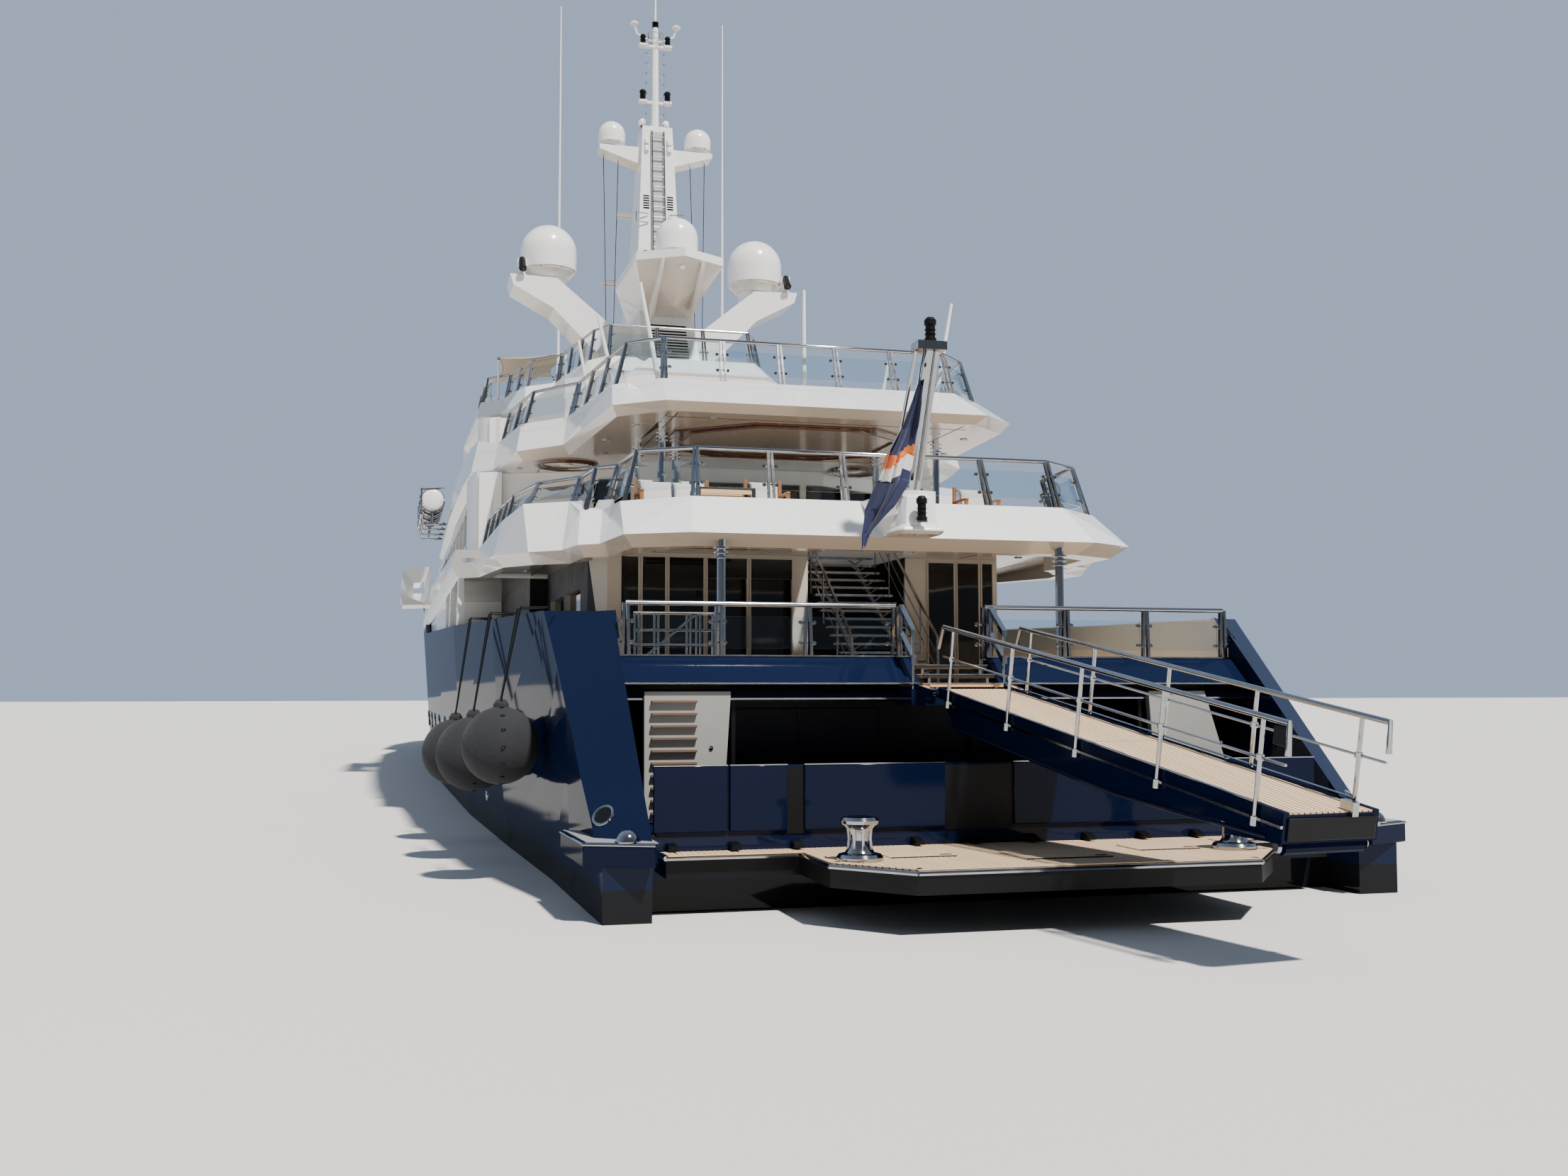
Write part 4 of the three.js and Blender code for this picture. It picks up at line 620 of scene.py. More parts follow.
def rail_panes(rows):
    form = Form()
    posts = stations(rows)
    for (number, foot, head, run), (next_number, foot2, head2, _) in zip(posts, posts[1:]):
        if number != next_number:
            continue
        inward = -run.cross(Vector(UP)).normalized()
        cut = min(0.4, PANE_GAP / max((head2 - head).length, 0.2))
        corners = []
        for ends in ((cut, 1 - cut), (1 - cut, cut)):
            height = PANE_SHARES[len(corners) // 2]
            corners += [foot.lerp(foot2, end).lerp(head.lerp(head2, end), height) for end in ends]
        layers = (PANE_IN, PANE_IN + PANE_THICK)
        form.rings([[corner + inward * deep for corner in corners] for deep in layers])
        form.tones[-6:-2] = [1] * 4
    return form


def make_rails():
    for name, ending, rows, glass in (
        ("upper_rail", "", UPPER_RAIL[::-1] + starboard(UPPER_RAIL), ["upper_glass"]),
        ("bridge_rail", "", BRIDGE_RAIL[::-1] + starboard(BRIDGE_RAIL), ["bridge_glass"]),
        ("sun_rail", "", SUN_RAIL[::-1] + starboard(SUN_RAIL), []),
        ("main_rail", "_port", COAMING_RAIL[::-1], []),
        ("main_rail", "_stbd", starboard(COAMING_RAIL), []),
    ):
        piece(name + "_tubes" + ending, rail_tubes(rows), [STEEL], replaces=[name + ending])
        piece(name + "_panes" + ending, rail_panes(rows), [CLEAR_GLASS, GLASS_EDGE], replaces=glass)


make_rails()

# A spare length of folded railing stowed behind the port coaming: its x, and both ends of y and z
FOLDED_X = -35.72
FOLDED_Y = (3.55, 4.85)
FOLDED_Z = (3.03, 4.12)


@pieces(("folded_rail", STEEL))
def folded_rail(form):
    x = FOLDED_X
    y0, y1 = FOLDED_Y
    z0, z1 = FOLDED_Z
    for y in (3.6, 3.85, 4.0, 4.5, 4.8):
        for shift in (-0.03, 0.03):
            form.tube([(x, y + shift, z0), (x, y + shift, z1)], 0.018)
        form.disc((x, y, z0), 0.05, 0, 0.02, 10)
    for z, radius in ((3.86, 0.016), (3.64, 0.016), (z1, 0.02)):
        form.tube([(x, y0, z), (x, y1, z)], radius)
    form.tube([(x, y1 - 0.15, z0 + 0.4), (x, y0 + 0.35, z1 - 0.02)], 0.016)


# Steps in the gate of the coaming, with short sloping grab bars on both sides: y of both ends of the
# gate, then x of both ends and height of each tread
GATE = (-0.75, 0.55)
GATE_TREADS = [(-36.16, -35.86, 3.34), (-36.46, -36.14, 3.19), (-36.8, -36.44, 3.05)]


@pieces(("gate_treads", TEAK_ACROSS, {"bevel": 0.008}), ("gate_metal", STEEL))
def gate(wood, steel):
    y0 = GATE[0] + 0.05
    y1 = GATE[1] - 0.05
    for x0, x1, z in GATE_TREADS:
        wood.box((x0 + 0.008, x1), (y0, y1), (z - 0.06, z))
        steel.box((x0, x0 + 0.008), (y0, y1), (z - 0.012, z + 0.004))
        for y in (y0 + 0.1, y1 - 0.14):
            steel.box((x0 + 0.02, x1 - 0.02), (y, y + 0.04), (2.96, z - 0.05))
    for y in (GATE[0] - 0.1, GATE[1] + 0.1):
        for drop in (0.0, 0.42):
            foot = Vector((-36.5, y, 3.82 - drop))
            head = Vector((-35.93, y, 4.24 - drop))
            steel.bar(foot, head, Vector((0, 0.04, 0)), Vector((0, 0, 0.05)))
        steel.tube([(-36.46, y, 2.96), (-36.46, y, 3.86)], 0.025, 10)
        steel.tube([(-35.93, y, 3.46), (-35.93, y, 4.24)], 0.025, 10)


# TRANSOM
# Folding panels as y of both ends, which sit proud of the flap's face, and black strips on the flap: a
# narrow gap, and a wide painted shadow of the gangway
FLAP_PANELS = [(3.99, 5.0), (3.16, 3.96), (0.88, 2.92), (-5.0, -0.15)]
FLAP_GAP_AND_SHADOW = [(2.92, 3.16), (-0.15, 0.88)]
FLAP_X = -38.35
FLAP_Z = (1.05, 1.93)
FLAP_PROUD = 0.05
BRACKET = [(-38.43, 0.91), (-38.58, 0.86), (-38.58, 0.82), (-38.36, 0.82), (-38.36, 0.91)]


@pieces(
    ("transom_gaps", BLACK),
    ("transom_brackets", BLACK, {"body": "root"}),
    ("transom_panels", NAVY_PAINT, {"bevel": 0.012}),
    ("transom_panel_trim", STEEL),
    body="transom_flap",
)
def transom(dark, feet, panels, edge):
    top = FLAP_Z[1]
    for y in FLAP_PANELS:
        panels.box((FLAP_X - FLAP_PROUD, FLAP_X), y, FLAP_Z)
        edge.box((FLAP_X - FLAP_PROUD, FLAP_X + 0.02), y, (top, top + 0.012))
    # Black strips: the narrow gap, and the gangway's painted shadow across the middle
    for y in FLAP_GAP_AND_SHADOW:
        dark.box((FLAP_X - 0.012, FLAP_X), y, (1.0, top - 0.03))
    for k in range(12):
        y = -4.7 + k * 0.86
        feet.prism(BRACKET, 1, (y - 0.06, y + 0.06))


# Panels under the fascia as outlines of y and z, and the steps on the port one
STAIR_PANELS = [
    [(3.62, 1.02), (4.8, 1.02), (4.8, 2.93), (3.5, 2.93)],
    [(-4.95, 1.02), (-3.47, 1.02), (-3.35, 2.93), (-4.35, 2.93)],
]
STAIR_PANEL_X = -36.43
STEPS = {"count": 10, "y": (4.02, 4.7), "z": 1.18, "rise": 0.18, "deep": 0.07}


@pieces(
    ("stair_panels", SHADED_PALE_GREY, {"bevel": 0.01}),
    ("stair_panel_knobs", STEEL),
    ("lobby_panels", SHADED_NAVY, {"bevel": 0.01}),
    ("lobby_gaps", BLACK),
    ("platform_steps", SHADED_STEP_WOOD, {"bevel": 0.006}),
)
def recess(grey, knobs, navy, dark, wood):
    for outline in STAIR_PANELS:
        grey.prism(outline, 0, (STAIR_PANEL_X, -36.3))
    for y in (3.8, -4.65):
        place = (STAIR_PANEL_X, y, 2.1)
        knobs.turned([(0, 0), (0.035, 0), (0.03, 0.02), (0, 0.025)], place, 16, (-1, 0, 0))
    for y0, y1 in ((0.75, 3.4), (-3.2, -0.85)):
        navy.box((-35.05, -34.92), (y0, y1), (1.9, 2.66))
        for y in (y0 - 0.03, (y0 + y1) / 2, y1 + 0.01):
            dark.box((-35.07, -35.05), (y, y + 0.02), (1.02, 2.7))
    # A black sheet across the back of the recess: painted shade deep under the fascia
    dark.box((-34.99, -34.91), (-5.1, 5.1), (1.02, 2.77))
    for y in (3.4, -3.3):
        dark.box((-36.28, -34.95), (y, y + 0.06), (1.02, 2.8))
    for k in range(STEPS["count"]):
        z = STEPS["z"] + k * STEPS["rise"]
        wood.box((STAIR_PANEL_X - STEPS["deep"], STAIR_PANEL_X), STEPS["y"], (z - 0.04, z))


# Bright edges of the fascia and the coaming: x of both sides and the foot
FASCIA_TRIM = [(-36.02, -35.84, 3.46), (-36.53, -36.49, 3.035), (-36.33, -36.29, 2.805)]
# A black strip on the sloping underside of the fascia, between the trims: painted shade
FASCIA_UNDERSIDE_SHADE = [(-36.5, 3.03), (-36.31, 2.84), (-36.3, 2.84), (-36.49, 3.03)]


@pieces(("fascia_trim", STEEL), ("fascia_gap", BLACK))
def fascia(trim, gap):
    for y in ((0.55, 5.12), (-5.12, -0.75)):
        for x0, x1, z in FASCIA_TRIM:
            trim.box((x0, x1), y, (z, z + 0.025))
    for y in ((0.6, 5.1), (-5.1, -0.8)):
        gap.prism(FASCIA_UNDERSIDE_SHADE, 1, y)


# Mooring gear on the quarters: a ring where the rope comes out, and a domed bollard on each pod
WING_RING = (-38.36, 5.66, 1.3)
WING_NORMAL = (-0.53, 0.557, 0.635)
POD = [(-37.3, 6.1), (-39.1, 6.02), (-39.5, 5.16), (-38.2, 5.16)]
POD_Z = (0.72, 1.02)
POD_DOME = [
    (0, 0), (0.17, 0), (0.17, 0.015), (0.15, 0), (0.145, 0.05),
    (0.12, 0.1), (0.08, 0.14), (0.03, 0.158), (0, 0.16),
]
# The upper inner corner of each wing, which closes it against the rail
WING_CORNER = [(-35.08, 5.51, 4.16), (-35.5, 5.09, 4.17), (-35.98, 5.1, 3.75), (-35.95, 5.33, 3.62)]


def on(side, point):
    """A point of the port side, on port (1) or starboard (-1)."""
    return Vector((point[0], side * point[1], point[2]))


@pieces(
    ("wing_corners", HULL_PAINT),
    ("quarter_fittings", STEEL),
    ("fairlead_holes", BLACK),
    ("quarter_pods", NAVY_PAINT, {"bevel": 0.015}),
    ("quarter_pod_treads", GREY_PAINT),
)
def quarters(corner, steel, hole, pods, tread):
    top = POD_Z[1]
    for side in (1, -1):
        face = [on(side, point) for point in WING_CORNER]
        corner.rings([face, [point + Vector((0.1, 0, -0.02)) for point in face]])
        steel.hoop(on(side, WING_RING), 0.145, 0.022, 40, on(side, WING_NORMAL))
        # A black disc in the ring: painted shade inside the hole
        hole.disc(on(side, WING_RING), 0.13, -0.02, 0.01, 32, on(side, WING_NORMAL))
        steel.turned(POD_DOME, (-39.16, side * 5.46, top), 32)
        outline = [(x, side * y) for x, y in POD]
        pods.prism(outline, 2, POD_Z)
        tread.prism([(x + 0.08, y - side * 0.05) for x, y in outline], 2, (top, top + 0.008))
        steel.tube([(x, y, top - 0.02) for x, y in outline[:3]], 0.018)
        steel.tube([(-38.6, side * 5.17, 1.0), (-38.05, side * 5.17, 1.5)], 0.02, 6)


# Swim platform: margin boards, hatch lids and a rub rail along its edge
PLATFORM_EDGE = [
    (-38.45, 4.9), (-38.8, 4.9), (-38.8, 3.1), (-40.2, 3.1), (-41.2, 2.3), (-41.2, -2.3),
    (-40.2, -3.1), (-38.8, -3.1), (-38.8, -4.9), (-38.45, -4.9),
]
PLATFORM_MIDDLE = Vector((-39.6, 0))
PLATFORM_Z = 0.8
PLATFORM_HATCHES = [(-40.5, -39.6, -0.6, 0.6), (-39.9, -39.2, 1.3, 2.2), (-39.9, -39.2, -2.2, -1.3)]


@pieces(
    ("platform_margin", TEAK_ACROSS),
    ("platform_hatches", TEAK_ACROSS, {"bevel": 0.01}),
    ("platform_rub_rail", STEEL),
)
def platform(margin, hatches, steel):
    z = PLATFORM_Z
    for ends in zip(PLATFORM_EDGE, PLATFORM_EDGE[1:]):
        a, b = [Vector(end) for end in ends]
        inward = (b - a).normalized().orthogonal()
        if inward.dot(PLATFORM_MIDDLE - a) < 0:
            inward = -inward
        board = [tuple(point) for point in (a, b, b + inward * 0.14, a + inward * 0.14)]
        margin.prism(board, 2, (z, z + 0.012))
        steel.tube([(x, y, z - 0.04) for x, y in ends], 0.035)
    for x0, x1, y0, y1 in PLATFORM_HATCHES:
        hatches.box((x0, x1), (y0, y1), (z, z + 0.018))
        steel.box((x0 + 0.05, x0 + 0.13), (y0 + 0.05, y0 + 0.2), (z + 0.018, z + 0.025))


# A drum capstan with a ribbed waist, which stands for the plain one
CAPSTAN = [
    (0, 0), (0.3, 0), (0.3, 0.04), (0.27, 0.08), (0.19, 0.1), (0.15, 0.16), (0.13, 0.25),
    (0.14, 0.36), (0.19, 0.43), (0.24, 0.46), (0.25, 0.5), (0.22, 0.54), (0.1, 0.555), (0, 0.56),
]
CAPSTAN_RIB = [(0.155, 0.14), (0.143, 0.27), (0.155, 0.4)]


def make_capstans():
    for side, word in SIDES:
        form = Form()
        place = Vector((-40.0, side * 2.65, 0.804))
        form.turned(CAPSTAN, place, 32)
        for out in spokes(8):
            form.tube([place + out * wide + Vector((0, 0, z)) for wide, z in CAPSTAN_RIB], 0.018, 6)
        piece("capstan_drum_" + word, form, [STEEL], replaces=["capstan_" + word])


make_capstans()

# STAIR
# The open stair: glass treads between two spine tubes, with a handrail on each side
STAIR_X = -30.8
STAIR_Y = (-1.87, -0.18)
TREADS = 16
TREAD = 0.26
RISE = 0.1794
HANDRAIL = 1.0
SPINES = (-0.55, -1.5)


@pieces(("stair_treads", CLEAR_GLASS, {"replaces": ["aft_stair"]}), ("stair_frame", STEEL))
def stair(glass, steel):
    run = TREADS * TREAD
    slope = RISE / TREAD
    foot_z = MAIN_DECK_Z + 0.01
    for k in range(TREADS):
        x = STAIR_X + k * TREAD
        z = MAIN_DECK_Z + (k + 1) * RISE
        glass.box((x + 0.012, x + TREAD + 0.02), STAIR_Y, (z - 0.035, z))
        steel.box((x, x + 0.012), STAIR_Y, (z - 0.045, z + 0.002))
        for y in SPINES:
            for shift in (-0.16, 0.16):
                steel.tube([(x + 0.15, y, z - 0.14), (x + 0.15, y + shift, z - 0.035)], 0.014, 6)
    for y in SPINES:
        x = STAIR_X + 0.15
        head = (STAIR_X + run - 0.1, y, MAIN_DECK_Z + run * slope - 0.16)
        steel.tube([(x, y, foot_z), (x, y, MAIN_DECK_Z + 0.05), head], 0.045, 12)
    for y in (STAIR_Y[0] - 0.03, STAIR_Y[1] + 0.03):
        low = Vector((STAIR_X + 0.05, y, MAIN_DECK_Z + HANDRAIL))
        high = low + Vector((run - 0.3, 0, run * slope))
        x = STAIR_X + 0.02
        steel.tube([(x, y, foot_z), (x, y, low.z - 0.06), low, high], 0.028, 10)
        for level in (0.35, 0.65):
            steel.tube([point - Vector((0, 0, HANDRAIL * level)) for point in (low, high)], 0.012, 6)
        for k in range(1, 5):
            x = STAIR_X + k * (run - 0.3) / 4
            z = MAIN_DECK_Z + (x - STAIR_X) * slope
            steel.tube([(x, y, z - 0.02), (x, y, z + HANDRAIL)], 0.02)


# GANGWAY
# Its own frame runs along -X from the hinge
GANGWAY_LENGTH = math.hypot(7.5, 1.3)
GANGWAY_HALF = 0.62
GANGWAY_RAIL_Z = 0.95
HINGE_CAP = [(0, 0), (0.1, 0), (0.1, 0.04), (0, 0.05)]
END_CAP = [(0, 0), (0.07, 0), (0.05, 0.03), (0, 0.03)]
GANGWAY_TURN = (
    Matrix.Translation((-37.1, -0.1, 2.95))
    @ Matrix.Rotation(0.122, 4, "Z")
    @ Matrix.Rotation(-math.atan2(1.3, 7.5), 4, "Y")
)


@pieces(
    ("gangway_planks", TEAK),
    ("gangway_ribs", STEEL),
    ("gangway_beams", NAVY_PAINT),
    ("gangway_handrail_port", STEEL, {"replaces": ["gangway_rail_port"]}),
    ("gangway_handrail_stbd", STEEL, {"replaces": ["gangway_rail_stbd"]}),
    ("gangway_board", BLACK, {"bevel": 0.008}),
    ("gangway_end_fittings", STEEL),
    body="gangway",
    turn=GANGWAY_TURN,
)
def gangway(wood, ribs, beams, port_rail, stbd_rail, board, fittings):
    end = -GANGWAY_LENGTH
    half = GANGWAY_HALF
    for x in ((end + 0.02, end * 0.52), (end * 0.517, -0.05)):
        wood.box(x, (0.07 - half, half - 0.07), (0.0, 0.018))
    for side, rail in ((1, port_rail), (-1, stbd_rail)):
        y = side * half
        ribs.box((end, -0.25), (y, y + side * 0.03), (-0.14, -0.11))
        truss = [(end * 0.97, -0.28), (end * 0.62, -0.47), (-0.55, -0.47), (-0.4, -0.3)]
        beams.tube([(x, y, z) for x, z in truss], 0.025)
        beams.box((end, -0.02), (y - side * 0.07, y), (0.0, 0.03))
        y = side * (half + 0.034)
        top = GANGWAY_RAIL_Z
        rail.tube([(end - 0.02, y, 0.62), (end, y, top), (-0.1, y, top), (0.02, y, 0.62)], 0.034, 12)
        rail.tube([(end, y, 0.52), (-0.15, y, 0.52)], 0.016)
        bay = (GANGWAY_LENGTH - 0.8) / 4
        for k in range(5):
            x = -0.4 - k * bay
            rail.tube([(x, y, -0.2), (x, y, top)], 0.026, 10)
            rail.disc((x, y, -0.2), 0.05, 0, 0.1, 12)
            rail.disc((x, y, 0.49), 0.045, 0, 0.06, 12)
            if k < 4:
                rail.tube([(x, y, 0.05), (x - bay, y, 0.05)], 0.012, 6)
        fittings.turned(HINGE_CAP, (-0.03, side * 0.72, -0.06), 16, (0, side, 0))
        fittings.turned(END_CAP, (end + 0.12, side * 0.56, -0.36), 16, (0, side, 0))
    board.box((end, end + 0.22), (half + 0.024, half + 0.044), (0.7, 0.89))
    board.box((end - 0.03, end), (0.05 - half, half - 0.05), (-0.27, -0.03))
    fittings.box((end - 0.05, end + 0.14), (-0.3, -0.22), (-0.03, 0.12))


# DOMES
# Radome: a turned shell with its seam and a conical skirt; middle x, y, foot height and radius
RADOMES = [
    ("large_dome_port", -9.2, 3.5, 16.504, 0.92),
    ("large_dome_stbd", -9.2, -3.5, 16.504, 0.92),
    ("aft_dome", -13.4, 0.0, 16.254, 0.66),
    ("small_dome_port", -9.4, 1.46, 21.104, 0.45),
    ("small_dome_stbd", -9.4, -1.46, 21.104, 0.45),
]
# Radius and height of the skirt, as shares of the dome's radius
DOME_SKIRT = [
    (0, 0), (0.7, 0), (0.72, 0.03), (0.92, 0.24), (0.95, 0.26), (0.95, 0.32), (0.985, 0.33), (0.995, 0.6),
]
DOME_STEPS = 16


def make_domes():
    bolts = Form()
    for name, x, y, z, r in RADOMES:
        form = Form()
        profile = [(r * wide, r * high) for wide, high in DOME_SKIRT]
        for k in range(DOME_STEPS + 1):
            angle = math.pi / 2 * k / DOME_STEPS
            profile.append((r * math.cos(angle), r * (1 + 0.995 * math.sin(angle))))
        form.turned(profile, (x, y, z), 48)
        piece(name + "_shell", form, [WHITE_PAINT], replaces=[name])
        for out in spokes(8, TAU / 16):
            place = Vector((x, y, z + r * 0.29)) + out * r * 0.95
            bolts.turned([(0, 0), (0.02, 0), (0.015, 0.012), (0, 0.014)], place, 8, out)
        bolts.hoop((x, y, z + r * 0.325), r * 0.955, 0.008, 40)
    piece("dome_bolts", bolts, [STEEL])


make_domes()

# MAST
MAST_X = -9.4
# The trunk's aft face: height, and how far aft of the mast it lies
TRUNK_AFT = [(12.8, 3.4), (15.0, 2.2), (17.0, 0.9), (21.8, 0.5)]
LADDER_Z = (17.0, 21.6)
LADDER_HALF = 0.2
LADDER_STAND = 0.1
RUNGS = 13
RUNG_PITCH = 0.35
POLE_STEPS = 8
POLE_STEPS_Z = 22.0


def trunk_aft(z):
    for (z0, a0), (z1, a1) in zip(TRUNK_AFT, TRUNK_AFT[1:]):
        if z <= z1:
            return MAST_X - (a0 + (a1 - a0) * (z - z0) / (z1 - z0))


def trunk_plate(form, corners, proud, sunk):
    """A plate of z and y corners, along the trunk's aft face."""
    form.rings([[(trunk_aft(z) + deep, y, z) for z, y in corners] for deep in (-proud, sunk)])


@pieces(("mast_ladder_strip", GREY_PAINT), ("mast_ladder", STEEL))
def ladder(strip, steel):
    z0, z1 = LADDER_Z
    trunk_plate(strip, [(z0, -0.27), (z1, -0.24), (z1, 0.24), (z0, 0.27)], 0.012, 0.05)
    stringer = [(z0, 0), (z0, LADDER_STAND), (z1, LADDER_STAND), (z1, 0)]
    for y in (-LADDER_HALF, LADDER_HALF):
        steel.tube([(trunk_aft(z) - stand, y, z) for z, stand in stringer], 0.022)
    for k in range(RUNGS):
        z = z0 + 0.2 + k * RUNG_PITCH
        x = trunk_aft(z) - LADDER_STAND
        steel.tube([(x, -LADDER_HALF, z), (x, LADDER_HALF, z)], 0.018)
    for k in range(POLE_STEPS):
        z = POLE_STEPS_Z + k * RUNG_PITCH
        for side in (-1, 1):
            step = [(MAST_X, side * y, z + rise) for y, rise in ((0.1, 0), (0.3, 0), (0.3, 0.09))]
            steel.tube(step, 0.018)


# Lamps on boxes at the ends of the cross arms: y, foot height and radius
MAST_LAMPS = [(0.42, 24.78, 0.1), (-0.42, 24.78, 0.1), (0.42, 22.83, 0.11), (-0.42, 22.83, 0.11)]
# Radius and height of a lamp with its lens rings, as shares of its own
LAMP = [
    (0, 0), (1, 0), (1, 0.5), (0.8, 0.6), (0.8, 1.0), (1, 1.1), (0.8, 1.2), (0.8, 1.6),
    (1, 1.7), (0.8, 1.8), (0.8, 2.3), (1, 2.4), (1, 3.0), (0.6, 3.4), (0, 3.5),
]
TRUNK_LAMP = [(0, -0.1), (0.08, -0.1), (0.08, 0.05), (0.06, 0.09), (0, 0.1)]
MUSHROOM = [(0, 0.08), (0.11, 0.08), (0.13, 0.11), (0.13, 0.2), (0.11, 0.28), (0.06, 0.33), (0, 0.34)]
HORN = [(0, 24.9), (0.35, 25.0), (0.62, 25.15), (0.72, 25.45)]
HORN_CAP = [(0, 0), (0.13, 0), (0.15, 0.05), (0.1, 0.1), (0, 0.12)]


def lamp(form, place, radius, height, sides=20):
    form.turned([(a * radius, b * height) for a, b in LAMP], place, sides)


@pieces(("mast_lamps", BLACK), ("mast_lamp_boxes", WHITE_PAINT, {"bevel": 0.01}), ("mast_guards", STEEL))
def mast_gear(black, white, steel):
    for y, z, r in MAST_LAMPS:
        lamp(black, (MAST_X, y, z + 0.02), r, r)
        white.box((MAST_X - 0.14, MAST_X + 0.14), (y - 0.14, y + 0.14), (z - 0.06, z + 0.02))
    lamp(black, (MAST_X, 0, 25.42), 0.11, 0.06)
    for side in (-1, 1):
        place = (-9.15, side * 0.4, 21.99)
        black.disc(place, 0.05, 0, 0.08)
        white.turned(MUSHROOM, place, 24)
        for z in (21.0, 21.25):
            white.turned(TRUNK_LAMP, (trunk_aft(z) - 0.02, side * 0.38, z))
        horn = [(MAST_X, side * y, z) for y, z in HORN]
        white.tube(horn, 0.035, 10)
        white.turned(HORN_CAP, horn[-1], 20)
        for z, y in ((18.4, 0.35), (16.7, 0.5)):
            x = trunk_aft(z) - 0.02
            guard = [(x, y, z), (x - 0.12, y + 0.42, z), (x - 0.12, y + 0.42, z + 0.3), (x, y, z + 0.3)]
            steel.tube([on(side, point) for point in guard], 0.022)
    foot, low, middle, top = [Vector((MAST_X, 0, z)) for z in (24.85, 24.95, 25.0, 25.15)]
    for place in (low, top):
        steel.hoop(place, 0.28, 0.014, 24)
    for out in spokes(4, 0.4):
        steel.tube([foot, middle + out * 0.28], 0.014, 6)
        steel.tube([low + out * 0.28, top + out * 0.28], 0.012, 6)


# Louvres on the mast's aft face: heights and y of both ends, and the number of slats
MAST_LOUVRES = [(13.4, 14.65, -0.6, 0.6, 12), (18.9, 19.4, 0.3, 0.5, 6), (18.9, 19.4, -0.5, -0.3, 6)]
CAMERA_EYE = [(0, 0), (0.13, 0), (0.13, 0.06), (0.1, 0.1), (0.09, 0.17), (0.05, 0.2), (0, 0.205)]
SHELF_RIB = [(-12.55, 14.55), (-14.3, 15.6), (-14.55, 15.95), (-13.2, 15.6), (-12.3, 15.05)]
SHELF_LAMP = [(0, 0), (0.09, 0), (0.08, 0.03), (0, 0.035)]


@pieces(
    ("mast_openings", BLACK),
    ("mast_slats", WHITE_PAINT),
    ("mast_cameras", BLACK),
    ("shelf_ribs", WHITE_PAINT, {"bevel": 0.02}),
    ("shelf_lamp", LAMP_GLASS),
)
def mast_openings(dark, slats, lens, ribs, shelf_lamp):
    for z0, z1, y0, y1, count in MAST_LOUVRES:
        # A black plate behind the slats: painted shade in the openings
        trunk_plate(dark, [(z0, y0), (z1, y0), (z1, y1), (z0, y1)], 0.008, 0.03)
        pitch = (z1 - z0) / count
        for k in range(count):
            z = z0 + (k + 0.5) * pitch
            slats.box((trunk_aft(z) - 0.035, trunk_aft(z)), (y0, y1), (z, z + 0.35 * pitch))
    for side in (1, -1):
        z = 17.3
        lens.turned(CAMERA_EYE, (trunk_aft(z) - 0.01, side * 0.465, z), 24, (-1, 0, 0.1))
        ribs.prism(SHELF_RIB, 1, (side * 0.62 - 0.05, side * 0.62 + 0.05))
    shelf_lamp.turned(SHELF_LAMP, (-14.42, 0, 15.77), 20, (-0.5, 0, -0.85))


# Searchlights outboard of the large domes, and the thin lines from the arms to the rail below
SEARCHLIGHT = (-9.8, 4.42, 16.44)
SEARCHLIGHT_AIM = (-0.62, 0, -0.78)
LIGHT_FOOT = [(0, 0), (0.16, 0), (0.16, 0.05), (0.1, 0.08), (0.1, 0.3), (0, 0.3)]
BARREL = [
    (0, -0.05), (0.1, -0.05), (0.11, 0.0), (0.11, 0.38),
    (0.125, 0.4), (0.125, 0.46), (0.1, 0.46), (0, 0.44),
]
HALYARDS = [((-9.3, 1.72, 20.95), (-9.5, 1.62, 14.9)), ((-9.3, 1.22, 20.9), (-9.5, 1.38, 14.8))]


@pieces(
    ("searchlight_bases", WHITE_PAINT, {"bevel": 0.02}),
    ("searchlight_lamps", BLACK),
    ("searchlight_lenses", CLEAR_GLASS),
    ("halyards", BLACK),
)
def searchlights(white, black, lens, lines):
    for side in (-1, 1):
        x, y, z = on(side, SEARCHLIGHT)
        white.turned(LIGHT_FOOT, (x, y, z), 24)
        white.box((x - 0.12, x + 0.2), (y - 0.15, y + 0.15), (z + 0.28, z + 0.56))
        head = (x - 0.1, y, z + 0.5)
        black.turned(BARREL, head, 28, SEARCHLIGHT_AIM)
        lens.turned([(0, 0.44), (0.1, 0.44), (0.09, 0.465), (0, 0.475)], head, 28, SEARCHLIGHT_AIM)
        for ends in HALYARDS:
            lines.tube([on(side, end) for end in ends], 0.012, 6)


# Radar arms with rounded ends on a drum, which stand for the plain ones: node, x, z and length
RADARS = [("scanner_high", -7.35, 19.4, 2.0), ("scanner_low", -6.5, 17.2, 2.8)]
# How far from the arm's end, and the share of the full section there
RADAR_ENDS = [(0, 0.55), (0.06, 0.9), (0.14, 1.0)]
RADAR_DRUM = [(0, -0.12), (0.1, -0.12), (0.1, -0.02), (0.13, 0.01), (0, 0.02)]
RADAR_BASE = [(0, -0.5), (0.23, -0.5), (0.23, -0.3), (0.19, -0.2), (0.17, -0.14), (0, -0.135)]


